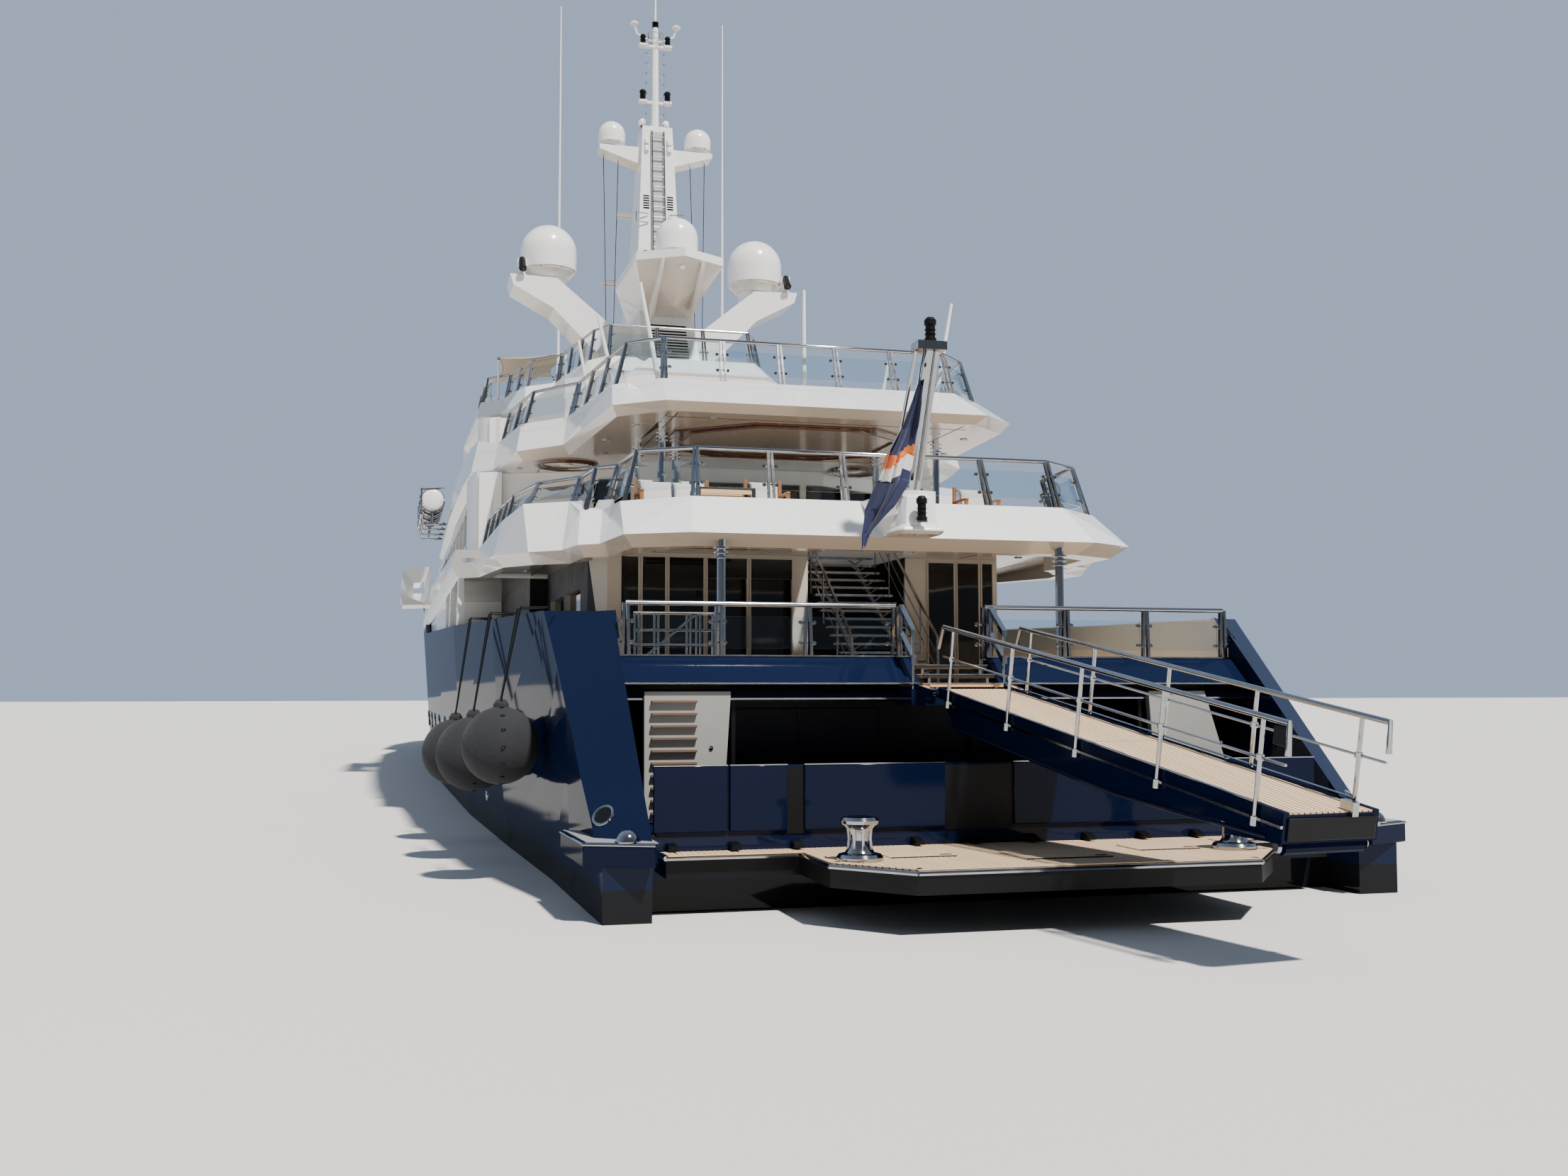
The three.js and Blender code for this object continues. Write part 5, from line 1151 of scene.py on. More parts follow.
def make_radars():
    base = Form()
    for name, x, z, length in RADARS:
        form = Form()
        near_end = [(y - length / 2, share) for y, share in RADAR_ENDS]
        section = [(u * 0.118, v * 0.108) for u, v in squarish(20, 0.5)]
        rows = []
        for y, share in near_end + [(-y, share) for y, share in reversed(near_end)]:
            rows.append([(x + wide * share, y, z + 0.11 + high * share) for wide, high in section])
        form.rings(rows)
        form.turned(RADAR_DRUM, (x, 0, z), 24)
        piece(name + "_arm", form, [WHITE_PAINT], name, [name], smooth=50)
        base.turned(RADAR_BASE, (x, 0, z), 28)
        base.hoop((x, 0, z - 0.36), 0.232, 0.01, 28)
    piece("scanner_gearboxes", base, [WHITE_PAINT])


make_radars()

# CEILINGS
OCTAGON = [
    (-28.85, 1.3), (-28.85, -1.3), (-27.6, -2.6), (-25.6, -2.6),
    (-24.6, -1.3), (-24.6, 1.3), (-25.6, 2.7), (-27.6, 2.7),
]
# Insets of dark wood under the decks: outline of x and y, height of the ceiling, width of the wood
WOOD_INSETS = [
    (OCTAGON, 8.4, 0.42),
    ([(-30.6, 1.36), (-30.6, 3.2), (-29.7, 3.2), (-29.7, 1.36)], 5.75, 0.12),
    ([(-31.4, -2.9), (-31.4, -2.25), (-30.0, -2.25), (-30.0, -2.9)], 5.75, 0.12),
]
RING_LIGHTS = [(-22.3, 4.35, 8.4, 0.72), (-22.9, -2.7, 8.4, 0.6)]
# Small lights: height, then x and y of each pair; two of them stand unevenly
DOWNLIGHTS = [
    (5.75, [(-32.0, 2.0), (-31.0, 3.9), (-29.0, 4.4), (-25.0, 5.3), (-23.0, 5.3)]),
    (8.4, [(-29.2, 2.2), (-28.0, 3.6), (-26.0, 3.9), (-24.2, 3.7), (-21.4, 5.4)]),
    (12.0, [(-14.6, 1.2), (-13.4, 2.5), (-11.4, 2.9), (-8.9, 4.1)]),
]
UNEVEN_LIGHTS = [(-27.4, 3.1, 5.75), (-27.4, -3.6, 5.75)]


def shrunk(outline, by):
    middle = sum((Vector(point) for point in outline), Vector((0, 0))) / len(outline)
    return [tuple(Vector(point) + (middle - Vector(point)).normalized() * by) for point in outline]


@pieces(
    ("ceiling_wood", DARK_WOOD),
    ("ceiling_frames", DARK_WOOD),
    ("ceiling_rims", STEEL),
    ("ceiling_lights", LAMP_GLASS),
)
def ceilings(wood, frames, rims, lights):
    for outline, z, width in WOOD_INSETS:
        inner = shrunk(outline, width)
        for i in range(len(outline)):
            wood.prism([outline[i - 1], outline[i], inner[i], inner[i - 1]], 2, (z - 0.02, z + 0.01))
        for edge in (outline, inner):
            frames.tube([(x, y, z - 0.02) for x, y in edge], 0.022, closed=True)
    for x, y, z, r in RING_LIGHTS:
        frames.hoop((x, y, z - 0.01), r, 0.06, 48)
        rims.hoop((x, y, z - 0.02), r - 0.12, 0.02, 40)
        lights.disc((x, y, z - 0.03), 0.16, 0, 0.03, 24)
    pairs = [(x, side * y, z) for z, places in DOWNLIGHTS for x, y in places for side in (1, -1)]
    for x, y, z in pairs + UNEVEN_LIGHTS:
        rims.hoop((x, y, z - 0.006), 0.075, 0.012, 20)
        lights.disc((x, y, z - 0.012), 0.06, 0, 0.02)


# Joints between the ceiling panels, as thin dark strips. The long ones: height, x of both ends, and how
# far they lie from the middle. Those across: height, each x, and half their length
LONG_JOINTS = [
    (8.4, -29.5, -22.8, 3.0), (8.4, -22.6, -19.8, 4.9), (5.75, -32.6, -28.4, 3.3), (5.75, -28.0, -21.6, 5.1),
    (12.0, -14.9, -9.9, 2.0),
]
CROSS_JOINTS = [(8.4, (-24.3, -29.1), 3.2), (5.75, (-31.9, -29.9), 3.6), (12.0, (-14.2, -12.0), 2.3)]


@pieces(("ceiling_joints", BLACK))
def joints(form):
    for z, x0, x1, y in LONG_JOINTS:
        for middle in (-y, y):
            form.box((x0, x1), (middle - 0.01, middle + 0.01), (z - 0.004, z + 0.004))
    for z, xs, half in CROSS_JOINTS:
        for x in xs:
            form.box((x - 0.01, x + 0.01), (-half, half), (z - 0.004, z + 0.004))


# SOFT PIECES
def grid_sheet(name, rows, materials, tones=()):
    """A sheet through rows of points, in metres of the full-size yacht, and its area in the model."""
    count = len(rows[0])
    corners = [r * count + i for r in range(len(rows) - 1) for i in range(count - 1)]
    mesh = bpy.data.meshes.new(name)
    points = [Vector(point) * SCALE for row in rows for point in row]
    mesh.from_pydata(points, [], [(a, a + 1, a + count + 1, a + count) for a in corners])
    made = add_object(name, mesh)
    for material in materials:
        mesh.materials.append(material)
    for face, tone in zip(mesh.polygons, tones):
        face.material_index = tone
    mesh.shade_smooth()
    thick = made.modifiers.new("thick", "SOLIDIFY")
    thick.thickness = 0.0006
    thick.offset = 0
    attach(made, "root")
    return made, sum(face.area for face in mesh.polygons)


# The flag hangs limp from its staff: x, y of both edges, height
FLAG_ROWS = [
    (-35.38, 0.06, 0.14, 7.95), (-35.3, 0.075, 0.2, 7.7), (-35.18, 0.084, 0.36, 7.25),
    (-35.1, 0.11, 0.6, 6.8), (-35.07, 0.2, 0.76, 6.35), (-35.05, 0.48, 0.95, 5.9),
    (-35.05, 0.8, 1.02, 5.5), (-35.05, 0.92, 1.0, 5.3),
]
FLAG_DOWN = 90
FLAG_ACROSS = 64
FLAG_PLEATS = 3.4
# Where the orange and the white band start and end, as shares of the height
FLAG_BANDS = [(0.4, 0.475), (0.475, 0.54)]


def flag_point(s, t):
    """A point of the flag, from the share of its height and the share of its width."""
    place = min(s, 0.9999) * (len(FLAG_ROWS) - 1)
    row = int(place)
    part = place - row
    part = part * part * (3 - 2 * part)
    x, y0, y1, z = [a + (b - a) * part for a, b in zip(FLAG_ROWS[row], FLAG_ROWS[row + 1])]
    deep = 0.03 + 0.13 * math.sin(math.pi * min(1.0, s * 1.15)) ** 0.8
    wave = TAU * (FLAG_PLEATS * t + 0.35 * math.sin(3.1 * s) + 0.12 * math.sin(11 * s))
    fold = math.sin(wave) + 0.22 * math.sin(2.3 * wave + 5 * s)
    shift = 0.035 * math.cos(wave) * (y1 - y0) / 0.6
    drop = 0.05 * math.sin(TAU * t * 1.5 + 4 * s) + 0.12 * (t - 0.5) * s
    fold *= 0.55 + 0.45 * math.sin(9 * s + 4 * t)
    return (x + deep * fold, y0 + (y1 - y0) * t + shift, z - drop)


def flag_tone(s):
    for tone, (low, high) in enumerate(FLAG_BANDS, 1):
        if low <= s < high:
            return tone
    return 0


@pieces(("flag_halyard", BLACK))
def flag_and_halyard(rope):
    across = [i / FLAG_ACROSS for i in range(FLAG_ACROSS + 1)]
    rows = [[flag_point(r / FLAG_DOWN, t) for t in across] for r in range(FLAG_DOWN + 1)]
    middles = [(r + 0.5) / FLAG_DOWN for r in range(FLAG_DOWN)]
    tones = [flag_tone(s - 0.08 * (t - 0.5)) for s in middles for t in across[:-1]]
    flag, area = grid_sheet("flag", rows, [NAVY_CLOTH, ORANGE_CLOTH, WHITE_CLOTH], tones)
    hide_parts("ensign")
    rope.tube([(-35.62, 0.1, 8.5), (-35.45, 0.11, 8.2), (-34.75, 0.12, 6.6), (-34.5, 0.1, 6.3)], 0.011, 6)
    for place in ((-35.52, 0.06, 8.22), (-34.86, 0.1, 6.85)):
        rope.hoop(place, 0.03, 0.008, 12, (0, 1, 0))


# The shade over the sun deck: x, y and height of its corners
SHADE = [(-6.5, 4.9, 14.42), (-6.5, 2.6, 14.77), (-2.6, 4.9, 14.32), (-2.6, 2.6, 14.62)]
SHADE_ALONG = 40
SHADE_ACROSS = 28


def shade_point(s, t):
    """A point of the shade, whose edges curve in and whose middle sags, from its shares."""
    aft_out, aft_in, fore_out, fore_in = [Vector(corner) for corner in SHADE]
    along = s + 0.085 * (0.5 - s) * 2 * math.sin(math.pi * t)
    across = t + 0.11 * (0.5 - t) * 2 * math.sin(math.pi * s)
    sag = 0.14 * math.sin(math.pi * s) * math.sin(math.pi * t)
    ripple = 0.012 * math.sin(18 * (s + t)) * abs(s - 0.5) * abs(t - 0.5) * 4
    point = aft_out.lerp(aft_in, across).lerp(fore_out.lerp(fore_in, across), along)
    return point - Vector((0, 0, sag + ripple))


@pieces(("shade_hem", BEIGE_CLOTH), ("shade_rings", STEEL))
def shade_and_rings(hem, rings):
    along = [k / SHADE_ALONG for k in range(SHADE_ALONG + 1)]
    across = [k / SHADE_ACROSS for k in range(SHADE_ACROSS + 1)]
    rows = [[shade_point(s, t) for t in across] for s in along]
    shade, area = grid_sheet("shade", rows, [BEIGE_CLOTH])
    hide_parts("sun_shade")
    far_side = [row[-1] for row in rows[1:]]
    near_side = [row[0] for row in rows[-2:0:-1]]
    hem.tube(rows[0] + far_side + rows[-1][-2::-1] + near_side, 0.02, 6, closed=True)
    for corner in SHADE:
        rings.hoop(corner, 0.06, 0.014, 16)
        rings.disc(corner, 0.05, -0.06, 0.03, 12)


CUSHION_STEPS = 10
CUSHION_RINGS = (0.25, 0.5, 0.75, 0.92)
CUSHION_LEVELS = (-1.0, -0.85, -0.5, 0.0, 0.5, 0.85, 1.0)


def cushion(form, place, size, turn=0.0, flat_below=True):
    """A stuffed cushion: middle of its foot, then its width, depth and thickness. Gives its seam."""
    wide, deep, thick = size
    lean = Matrix.Rotation(turn, 3, "Y")
    edge = []
    for k in range(CUSHION_STEPS * 4):
        side, part = divmod(k, CUSHION_STEPS)
        a = -1 + 2 * part / CUSHION_STEPS
        edge.append([(a, -1), (1, a), (-a, 1), (-1, -a)][side])

    def ring(share, w):
        found = []
        for u, v in edge:
            u *= share
            v *= share
            crown = max(0.0, (1 - abs(u) ** 3.5) * (1 - abs(v) ** 3.5)) ** 0.4
            rise = 0.42 + 0.58 * crown if w > 0 or not flat_below else 0.5 + 0.1 * crown
            pulled_u = u * (1 - 0.06 * (1 - v * v))
            pulled_v = v * (1 - 0.06 * (1 - u * u))
            point = Vector((pulled_v * deep / 2, pulled_u * wide / 2, w * rise * thick / 2 + thick / 2))
            found.append(Vector(place) + lean @ point)
        return found

    below = [ring(share, -1.0) for share in CUSHION_RINGS]
    around = [ring(1 - 0.06 * w * w, w) for w in CUSHION_LEVELS]
    above = [ring(share, 1.0) for share in reversed(CUSHION_RINGS)]
    form.rings(below + around + above)
    return ring(0.99, 0.05)


# Seats: node, x of the back, y of both ends, depth and number of cushions
SEATS = [
    ("upper_sofa", -30.0, 2.5, 3.95, 0.8, 2),
    ("upper_chair_port", -30.2, 1.1, 1.85, 0.72, 1),
    ("upper_chair_stbd", -30.2, -3.2, -2.45, 0.72, 1),
]
SEAT_Z = 0.42
BACK_Z = 0.95
SLAT_PITCH = 0.09
BACK_LEAN = math.radians(-76)


def seat_frame(back, y0, y1, front, floor_z):
    """Legs, arms, rails and slats: each row is x, y, then heights above the floor."""
    boxes = []
    for y in (y0 + 0.035, y1 - 0.035):
        boxes += [
            ((front, front + 0.06), (y - 0.035, y + 0.035), (0, SEAT_Z + 0.2)),
            ((back - 0.08, back - 0.02), (y - 0.035, y + 0.035), (0, BACK_Z)),
            ((front - 0.01, back - 0.02), (y - 0.04, y + 0.04), (SEAT_Z + 0.2, SEAT_Z + 0.24)),
            ((front + 0.06, back - 0.08), (y - 0.02, y + 0.02), (0.14, 0.18)),
        ]
    inside = (y0 + 0.07, y1 - 0.07)
    boxes += [((back - 0.07, back - 0.03), inside, (z - 0.04, z)) for z in (0.24, 0.62, 0.91)]
    boxes.append(((front, front + 0.04), inside, (0.16, 0.26)))
    for k in range(int((y1 - y0 - 0.14) / SLAT_PITCH)):
        y = y0 + 0.1 + k * SLAT_PITCH
        boxes.append(((back - 0.06, back - 0.04), (y, y + 0.04), (0.24, 0.88)))
        boxes.append(((front + 0.04, back - 0.08), (y, y + 0.05), (0.22, 0.24)))
    wood = Form(Matrix.Translation((0, 0, floor_z)))
    for x, y, z in boxes:
        wood.box(x, y, z)
    return wood


def make_seats():
    floor_z = UPPER_DECK_Z + 0.004
    for name, x, y0, y1, depth, count in SEATS:
        wood = seat_frame(x, y0, y1, x - depth, floor_z)
        piece(name + "_frame", wood, [OILED_WOOD], bevel=0.008, replaces=[name])
        room = (y1 - y0 - 0.16) / count
        soft = Form()
        piping = Form()
        for k in range(count):
            y = y0 + 0.08 + room * (k + 0.5)
            seat = ((x - depth / 2 - 0.08, y, floor_z + 0.245), (room - 0.02, depth - 0.2, 0.17))
            back = ((x - 0.085, y, floor_z + 0.65), (room - 0.03, 0.46, 0.18), BACK_LEAN, False)
            for settings in (seat, back):
                piping.tube(cushion(soft, *settings), 0.009, 6, closed=True)
        cushions = piece(name + "_cushions", soft, [PALE_CLOTH], smooth=180)
        piece(name + "_piping", piping, [PALE_CLOTH], smooth=180)


make_seats()

# The low table of slats on the upper deck: both ends of x and y, and the top
TABLE_X = (-31.65, -30.98)
TABLE_Y = (1.95, 3.05)
TABLE_TOP_Z = UPPER_DECK_Z + 0.604
TABLE_LEG = 0.07
TABLE_SLAT = 0.075


@pieces(("upper_table_slats", TEAK_ACROSS, {"bevel": 0.006, "replaces": ["upper_table"]}))
def table(wood):
    x0, x1 = TABLE_X
    y0, y1 = TABLE_Y
    top = TABLE_TOP_Z
    for x in (x0, x1 - TABLE_LEG):
        for y in (y0, y1 - TABLE_LEG):
            wood.box((x, x + TABLE_LEG), (y, y + TABLE_LEG), (UPPER_DECK_Z + 0.004, top - 0.04))
    for y in (y0, y1 - 0.09):
        wood.box((x0, x1), (y, y + 0.09), (top - 0.04, top))
    for k in range(int((x1 - x0) / TABLE_SLAT)):
        x = x0 + k * TABLE_SLAT
        wood.box((x + 0.004, x + TABLE_SLAT - 0.004), (y0 + 0.094, y1 - 0.094), (top - 0.035, top - 0.002))
    for x in (x0 + 0.01, x1 - 0.04):
        wood.box((x, x + 0.03), (y0 + TABLE_LEG, y1 - TABLE_LEG), (top - 0.12, top - 0.04))


# SIDE GEAR
# Life rafts in a rack on each side: x of each, then y, z, radius and half the length
RAFT_XS = (-4.3, -2.5, -0.7)
RAFT_Y = 7.0
RAFT_Z = 9.65
RAFT_R = 0.4
RAFT_HALF = 0.74
RAFT_RIBS = 9
# The rack's upright, its top bar, and its long bars, as y and z
RACK_UPRIGHT = [(6.5, 8.8), (7.3, 8.76), (7.38, 9.2), (7.38, 10.02)]
RACK_TOP = [(7.38, 10.0), (6.6, 10.06)]
RACK_BARS = [(7.38, 9.15), (7.38, 9.6), (7.38, 10.02), (6.62, 8.84), (7.25, 8.8)]


def raft_profile():
    half = RAFT_HALF
    end = [(0, half), (0.7, half), (0.9, half - 0.05), (0.97, half - 0.13)]
    profile = [(wide, -high) for wide, high in end]
    for k in range(RAFT_RIBS):
        at = -half + 0.2 + k * (2 * half - 0.4) / (RAFT_RIBS - 1)
        profile += [(0.97, at - 0.04), (0.93, at - 0.02), (0.93, at + 0.02), (0.97, at + 0.04)]
    return [(RAFT_R * wide, high) for wide, high in profile + end[::-1]]


def make_rafts():
    ends = (RAFT_XS[0] - RAFT_HALF, RAFT_XS[-1] + RAFT_HALF)
    z = RAFT_Z
    for side, word in SIDES:
        shell = Form()
        rack = Form()
        straps = Form()
        y = side * RAFT_Y
        for x in RAFT_XS:
            shell.turned(raft_profile(), (x, y, z), 28, (1, 0, 0))
            seam = RAFT_HALF - 0.03
            shell.box((x - seam, x + seam), (y - 0.412, y + 0.412), (z - 0.025, z + 0.025))
            for at in (-0.42, 0.0, 0.42):
                straps.hoop((x + at, y, z), RAFT_R + 0.005, 0.014, 32, (1, 0, 0))
        for x in (ends[0] + 0.05, -3.4, -1.6, ends[1] - 0.05):
            rack.tube([(x, side * out, high) for out, high in RACK_UPRIGHT], 0.035)
            rack.tube([(x, side * out, high) for out, high in RACK_TOP], 0.03)
        for out, high in RACK_BARS:
            rack.tube([(x, side * out, high) for x in ends], 0.03)
        for middle in RAFT_XS:
            for x in (middle - 0.45, middle + 0.45):
                turns = [math.radians(200 + 140 * k / 8) for k in range(9)]
                arc = [(x, y + side * 0.43 * math.cos(turn), z + 0.43 * math.sin(turn)) for turn in turns]
                rack.tube(arc, 0.028)
                rack.tube([(x, y, z - 0.43), (x, y, 8.82)], 0.03)
        piece("raft_shells_" + word, shell, [WHITE_PAINT], replaces=["raft_" + word])
        piece("raft_rack_" + word, rack, [STEEL])
        piece("raft_straps_" + word, straps, [BLACK])


make_rafts()

# Ball fenders: x, y, z of the middle, radius and height of the bulwark
FENDERS = [(-34.5, 6.72, 2.1, 0.6, 4.21), (-31.2, 6.95, 1.85, 0.65, 4.29), (-27.5, 7.1, 1.75, 0.65, 4.38)]
FENDER_STEPS = 22
# Radius and height of the neck, as shares of the fender's radius
FENDER_NECK = [(0.2, 1.06), (0.13, 1.18), (0, 1.2)]


def make_fenders():
    for number, (x, y, z, r, top) in enumerate(FENDERS, 1):
        ball = Form()
        profile = []
        for k in range(FENDER_STEPS + 1):
            angle = math.pi * k / FENDER_STEPS - math.pi / 2
            narrowest = 0.2 if math.sin(angle) > 0.86 else 0
            profile.append((r * max(math.cos(angle), narrowest), r * math.sin(angle)))
        profile += [(r * wide, r * high) for wide, high in FENDER_NECK]
        ball.turned(profile, (x, y, z), 40)
        piece(f"fender_cover_{number}", ball, [FENDER_PILE], replaces=[f"fender_{number}"], smooth=180)
        gear = Form()
        gear.hoop((x, y, z + r * 1.12), r * 0.13, 0.02, 16, (0, 1, 0))
        for at in (x - 0.25, x + 0.25):
            over_edge = [(at, y - inboard, top + 0.03) for inboard in (0.26, 0.68)]
            gear.tube([(x, y, z + r * 1.2)] + over_edge, 0.018, 6)
        for k in range(7):
            angle = math.pi * (k + 0.5) / 7 - math.pi / 2
            place = (x - r * 1.005 * math.cos(angle), y, z + r * math.sin(angle))
            gear.hoop(place, 0.03, 0.008, 8, (0.2, 0, 1))
        piece(f"fender_lines_{number}", gear, [BLACK])


make_fenders()


def skin(x, z, side):
    """Where a level ray from one side meets the hull, and the surface's direction there."""
    start = Vector((x, side * 12, z)) * SCALE
    _, place, normal, _ = NODES["hull"].ray_cast(start, Vector((0, -side, 0)))
    return place / SCALE, normal


PORT_XS = range(-17, 20, 4)
PORT_Z = 1.95
PORT_WIDE = 0.42
PORT_HIGH = 0.24


@pieces(("hull_ports", DARK_GLASS), ("hull_port_rims", STEEL))
def ports(glass, rims):
    for side in (1, -1):
        for x in PORT_XS:
            place, normal = skin(x, PORT_Z, side)
            along = Vector((normal.y, -normal.x, 0)).normalized() * PORT_WIDE
            up = normal.cross(along).normalized() * PORT_HIGH
            inner = [place + along * u + up * v for u, v in squarish(32, 0.6)]
            outer = [place + along * u * 1.1 + up * v * 1.16 for u, v in squarish(32, 0.6)]
            glass.rings([[point + normal * out for point in inner] for out in (-0.03, 0.012)])
            rims.tube([point + normal * 0.006 for point in outer], 0.028, 6, closed=True)


def anchor(black, steel, place, normal):
    """An anchor in its pocket, whose dark inside is a black disc of painted shade: the shank, the crown and
    two flukes.
    """
    black.disc(place, 0.62, -0.05, 0.02, 28, normal)
    steel.hoop(place + normal * 0.02, 0.64, 0.05, 36, normal)
    down = Vector((0, 0, -1))
    down = (down - normal * down.dot(normal)).normalized()
    over = normal.cross(down)
    crown = place + normal * 0.1 + down * 0.42
    steel.tube([place + normal * 0.06 - down * 0.4, crown], 0.07, 10)
    steel.tube([crown - over * 0.42, crown + over * 0.42], 0.09, 10)
    for turn in (-1, 1):
        foot = crown + over * 0.36 * turn
        steel.tube([foot, foot - down * 0.5 + over * 0.1 * turn + normal * 0.06], 0.11, tip=0.03)


# Black discs in the hull stand for the dark insides of the anchor pockets, tunnels and outlets: painted
# shade
@pieces(("hull_openings", BLACK), ("hull_fittings", STEEL), ("hull_anodes", BRONZE))
def hull_gear(black, steel, bronze):
    for side in (1, -1):
        anchor(black, steel, *skin(34.6, 4.9, side))
        for x in (29.0, 31.0):
            place, normal = skin(x, -1.9, side)
            black.disc(place, 0.45, -0.02, 0.01, 28, normal)
            steel.hoop(place + normal * 0.01, 0.46, 0.04, 32, normal)
            for shift in (-0.2, 0.0, 0.2):
                steel.tube([place + normal * 0.02 + Vector((shift, 0, z)) for z in (-0.4, 0.4)], 0.02, 6)
        for x, z in ((-26.0, -0.8), (-18.0, -1.6), (-10.0, -1.6), (6.0, -1.6), (14.0, -1.6)):
            place, normal = skin(x, z, side)
            bronze.turned([(0, -0.02), (0.16, -0.02), (0.12, 0.06), (0, 0.06)], place, 20, normal)
        for x in (-25.8, -15.5, -3.0, 8.5):
            place, normal = skin(x, 0.75, side)
            steel.hoop(place, 0.09, 0.02, 16, normal)
            black.disc(place, 0.08, -0.01, 0.005, 16, normal)


# Ventilation panels on the side walls: both ends of x, y and both heights
LOUVRE_X = (-18.05, -15.3)
LOUVRE_Y = 6.3
LOUVRE_Z = (6.95, 8.05)


@pieces(("louvre_backs", BLACK), ("louvre_slats", BLACK))
def louvres(backs, slats):
    x0, x1 = LOUVRE_X
    z0, z1 = LOUVRE_Z
    for side in (1, -1):
        y = side * LOUVRE_Y
        # Black backs behind the slats: painted shade in the openings
        backs.box((x0, x1), (y, y + side * 0.02), (z0, z1))
        for x in (x0 - 0.05, x1):
            slats.box((x, x + 0.05), (y, y + side * 0.06), (z0 - 0.05, z1 + 0.05))
        for z in (z0 - 0.05, z1):
            slats.box((x0, x1), (y, y + side * 0.06), (z, z + 0.05))
        for k in range(9):
            z = z0 + 0.1 + k * 0.12
            slats.box((x0, x1), (y + side * 0.01, y + side * 0.05), (z, z + 0.03))


# Cleats, bollards, hatches and the anchor chains on the foredeck
BOLLARD = [(0, 0), (0.09, 0), (0.09, 0.32), (0.12, 0.34), (0.12, 0.39), (0.05, 0.42), (0, 0.42)]
VENT = [(0, 0), (0.16, 0), (0.14, 0.3), (0.17, 0.4), (0.15, 0.5), (0, 0.52)]


@pieces(("foredeck_steel", STEEL), ("foredeck_hatches", WHITE_PAINT, {"bevel": 0.02}))
def foredeck(steel, white):
    z = FOREDECK_Z
    for side in (1, -1):
        for x, y in ((29.8, side * 4.0), (32.2, side * 3.3)):
            steel.box((x - 0.32, x + 0.32), (y - 0.14, y + 0.14), (z, z + 0.03))
            for shift in (-0.18, 0.18):
                steel.turned(BOLLARD, (x + shift, y, z + 0.02), 20)
        for k in range(22):
            x = 32.5 + k * 0.09
            link = (x, side * 0.75, z + 0.05 if x < 33.55 else 6.8)
            steel.hoop(link, 0.055, 0.018, 10, (0, 1, 0) if k % 2 else UP)
        white.turned(VENT, (31.2, side * 2.2, z), 24)
    for x in (30.2, 32.2):
        white.box((x - 0.45, x + 0.45), (-0.45, 0.45), (z, z + 0.12))
        steel.box((x - 0.5, x - 0.44), (-0.2, 0.2), (z + 0.06, z + 0.1))


# Side lights on the bridge
@pieces(("side_lights", LAMP_GLASS), ("side_light_boxes", BLACK, {"bevel": 0.01}))
def side_lights(lights, boxes):
    for side in (1, -1):
        x, y, z = on(side, (7.6, 4.95, 11.75))
        boxes.box((x - 0.25, x + 0.15), (y - side * 0.05, y + side * 0.22), (z - 0.15, z + 0.15))
        lights.disc((x + 0.2, y + side * 0.1, z), 0.09, -0.1, 0.1)


# STAFF AND COLUMNS
# The white foot of the ensign staff: height, its aft x and half its width
PEDESTAL = [
    (5.5, -35.14, 0.36), (5.56, -35.2, 0.42), (5.61, -35.18, 0.4), (5.65, -35.13, 0.34),
    (6.12, -35.04, 0.27), (6.17, -34.98, 0.23),
]
PEDESTAL_FRONT_X = -34.5


@pieces(("staff_lamps", BLACK), ("staff_clamps", STEEL), ("staff_pedestal", WHITE_PAINT, {"bevel": 0.015}))
def staff_gear(black, steel, white):
    for place, r in (((-35.6, 0.0, 8.58), 0.1), ((-35.27, 0.05, 5.7), 0.09)):
        lamp(black, place, r, 0.12, 24)
        steel.disc(place, r * 1.1, -0.03, 0, 24)
    for z in (6.6, 7.3, 8.0):
        x = -34.4 - 1.2 * (z - 6.25) / 2.35
        steel.disc((x, 0, z), 0.095, -0.05, 0.05, 20, (-1.2, 0, 2.35))
        steel.tube([(x, 0, z), (x, -0.14, z)], 0.035, 10)
    rows = []
    for z, x, half in PEDESTAL:
        port = [(x, half * 0.8, z), (x + 0.12, half, z), (PEDESTAL_FRONT_X, half, z)]
        rows.append(port + [(x, -y, z) for x, y, z in reversed(port)])
    white.rings(rows)


# Side columns that carry the decks, as outlines in plan with both heights
COLUMNS = [
    ([(-20.6, 5.75), (-20.3, 6.34), (-19.6, 6.5), (-18.4, 6.5), (-18.2, 6.28), (-20.4, 6.1)], (6.06, 8.42)),
    ([(-8.55, 4.95), (-8.2, 5.42), (-7.8, 5.6), (-7.0, 5.6), (-6.8, 5.33), (-8.3, 5.15)], (9.11, 12.02)),
]


@pieces(("side_columns", WHITE_PAINT, {"bevel": 0.03}))
def columns(form):
    for outline, heights in COLUMNS:
        for side in (1, -1):
            form.prism([(x, side * y) for x, y in outline], 2, heights)


# The saloon front: thin mullions between dark panes, as y of both ends of each pane
PANES = [(2.22, 2.95), (3.01, 3.5), (3.56, 3.93), (-3.22, -2.62), (-3.78, -3.28), (-4.1, -3.84)]
DOOR_HEADS = [(0.35, 1.25), (1.31, 2.16)]
SALOON_X = -28.3
PANE_FOOT_Z = 3.3
DOOR_HEAD_Z = 5.25
PANE_TOP_Z = 5.66


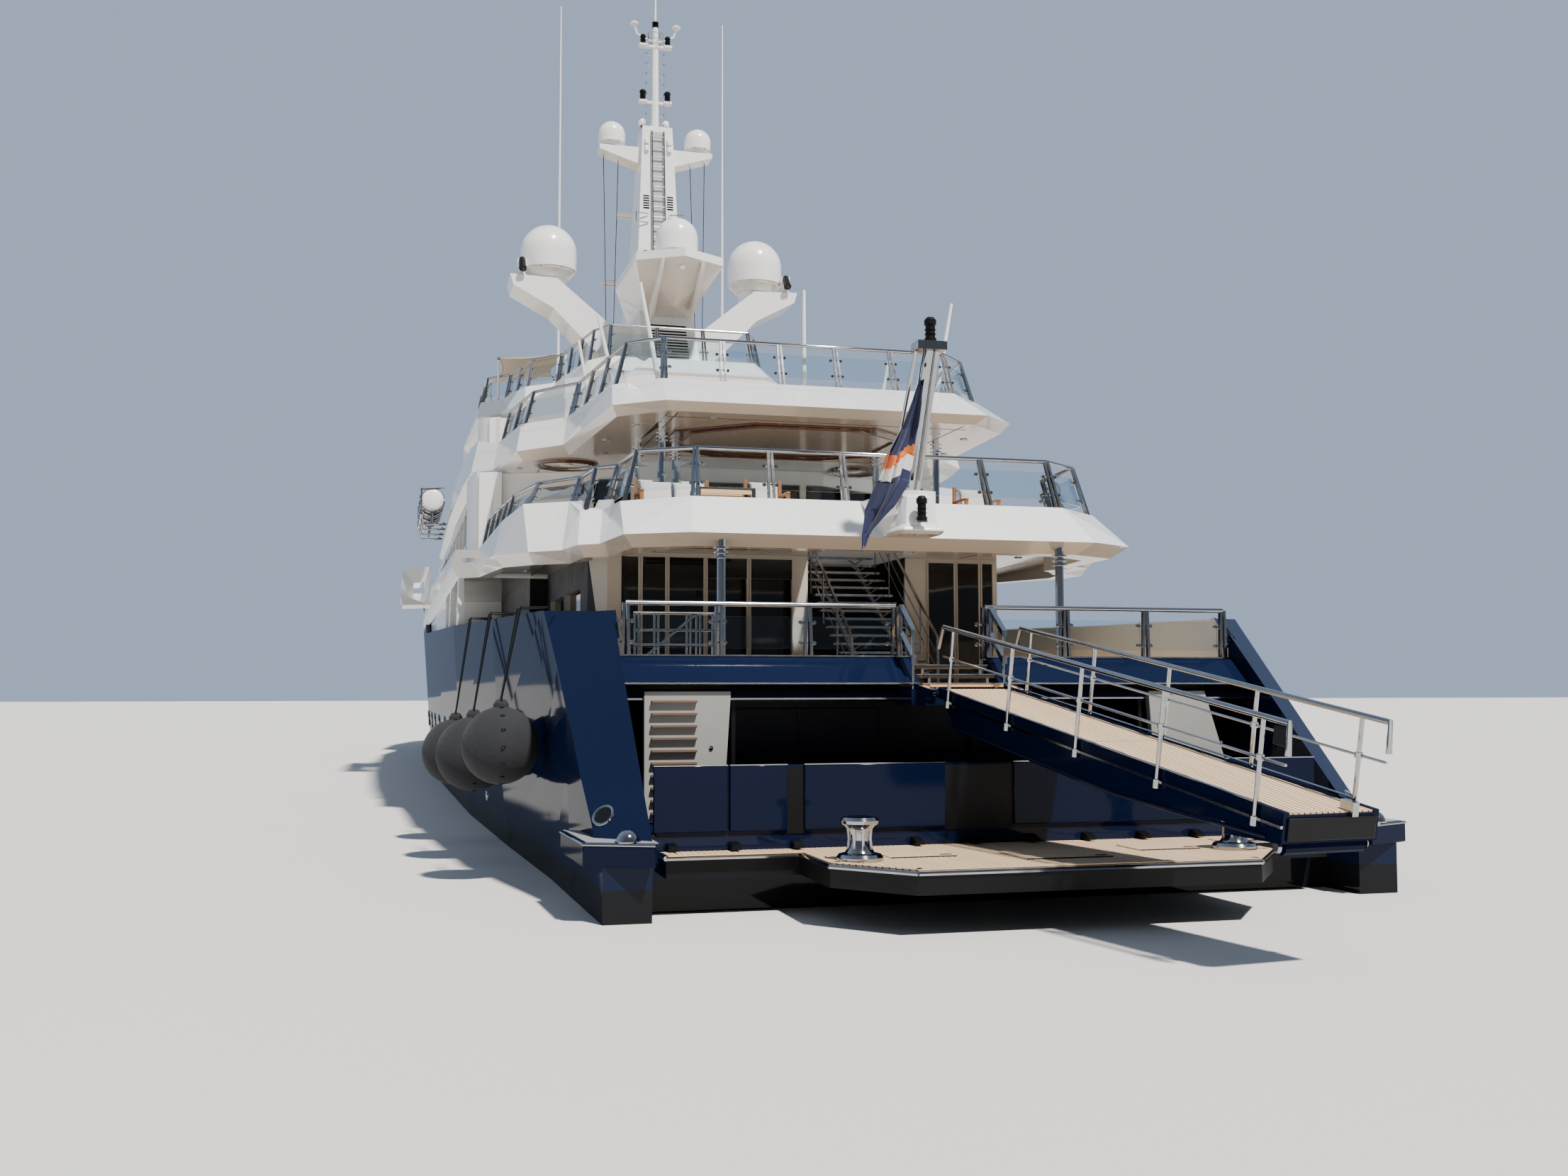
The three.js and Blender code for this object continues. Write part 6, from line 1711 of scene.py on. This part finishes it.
@pieces(("saloon_panes", DARK_GLASS), ("saloon_frames", BEIGE_PAINT, {"bevel": 0.006}))
def saloon_front(glass, frames):
    x = SALOON_X
    for y0, y1 in PANES + DOOR_HEADS:
        foot = PANE_FOOT_Z if (y0, y1) in PANES else DOOR_HEAD_Z
        glass.box((x - 0.012, x + 0.02), (y0, y1), (foot, PANE_TOP_Z))
        for y in (y0, y1):
            frames.box((x - 0.035, x), (y - 0.014, y + 0.014), (PANE_FOOT_Z - 0.28, PANE_TOP_Z))
        frames.box((x - 0.03, x), (y0, y1), (PANE_TOP_Z, PANE_TOP_Z + 0.03))
        if foot == PANE_FOOT_Z:
            frames.box((x - 0.03, x), (y0, y1), (foot - 0.03, foot))
    frames.box((x - 0.05, x), (0.3, 2.2), (3.005, 3.02))


# STAGE
# The sky is darker behind the camera, so bright metal shows its shape
SKY_BEHIND = rgb(0.19, 0.22, 0.27)
SKY_AHEAD = rgb(0.62, 0.78, 1.05)
FLOOR_REACH = 60.0


def make_floor():
    corners = [(x * FLOOR_REACH, y * FLOOR_REACH, 0) for x, y in ((-1, -1), (1, -1), (1, 1), (-1, 1))]
    mesh = bpy.data.meshes.new("floor")
    mesh.from_pydata(corners, [], [(0, 1, 2, 3)])
    floor = add_object("floor", mesh)
    shader = Shader("floor", Roughness=0.75)
    colour = shader.mix(shader.noise(0.6, 3.0), rgb(0.74, 0.72, 0.69), rgb(0.70, 0.68, 0.65))
    mesh.materials.append(shader.finish(colour))


def make_light():
    world = bpy.data.worlds.new("world")
    bpy.context.scene.world = world
    nodes = Nodes(world)
    sky = nodes.tree.nodes["Background"].inputs
    share = nodes.ramp(nodes.part(nodes.node("TexCoord", {}, "Generated"), "X"), -0.7, 0.6)
    nodes.feed(sky["Color"], nodes.mix(share, SKY_BEHIND, SKY_AHEAD))
    sky["Strength"].default_value = 0.62
    sun = bpy.data.lights.new("sun", "SUN")
    sun.energy = 7.2
    sun.color = (1.0, 0.96, 0.9)
    sun.angle = math.radians(3)
    toward = Vector((0.5, 0.22, -0.84))
    add_object("sun", sun).rotation_euler = toward.to_track_quat("-Z", "Y").to_euler()


make_floor()
make_light()
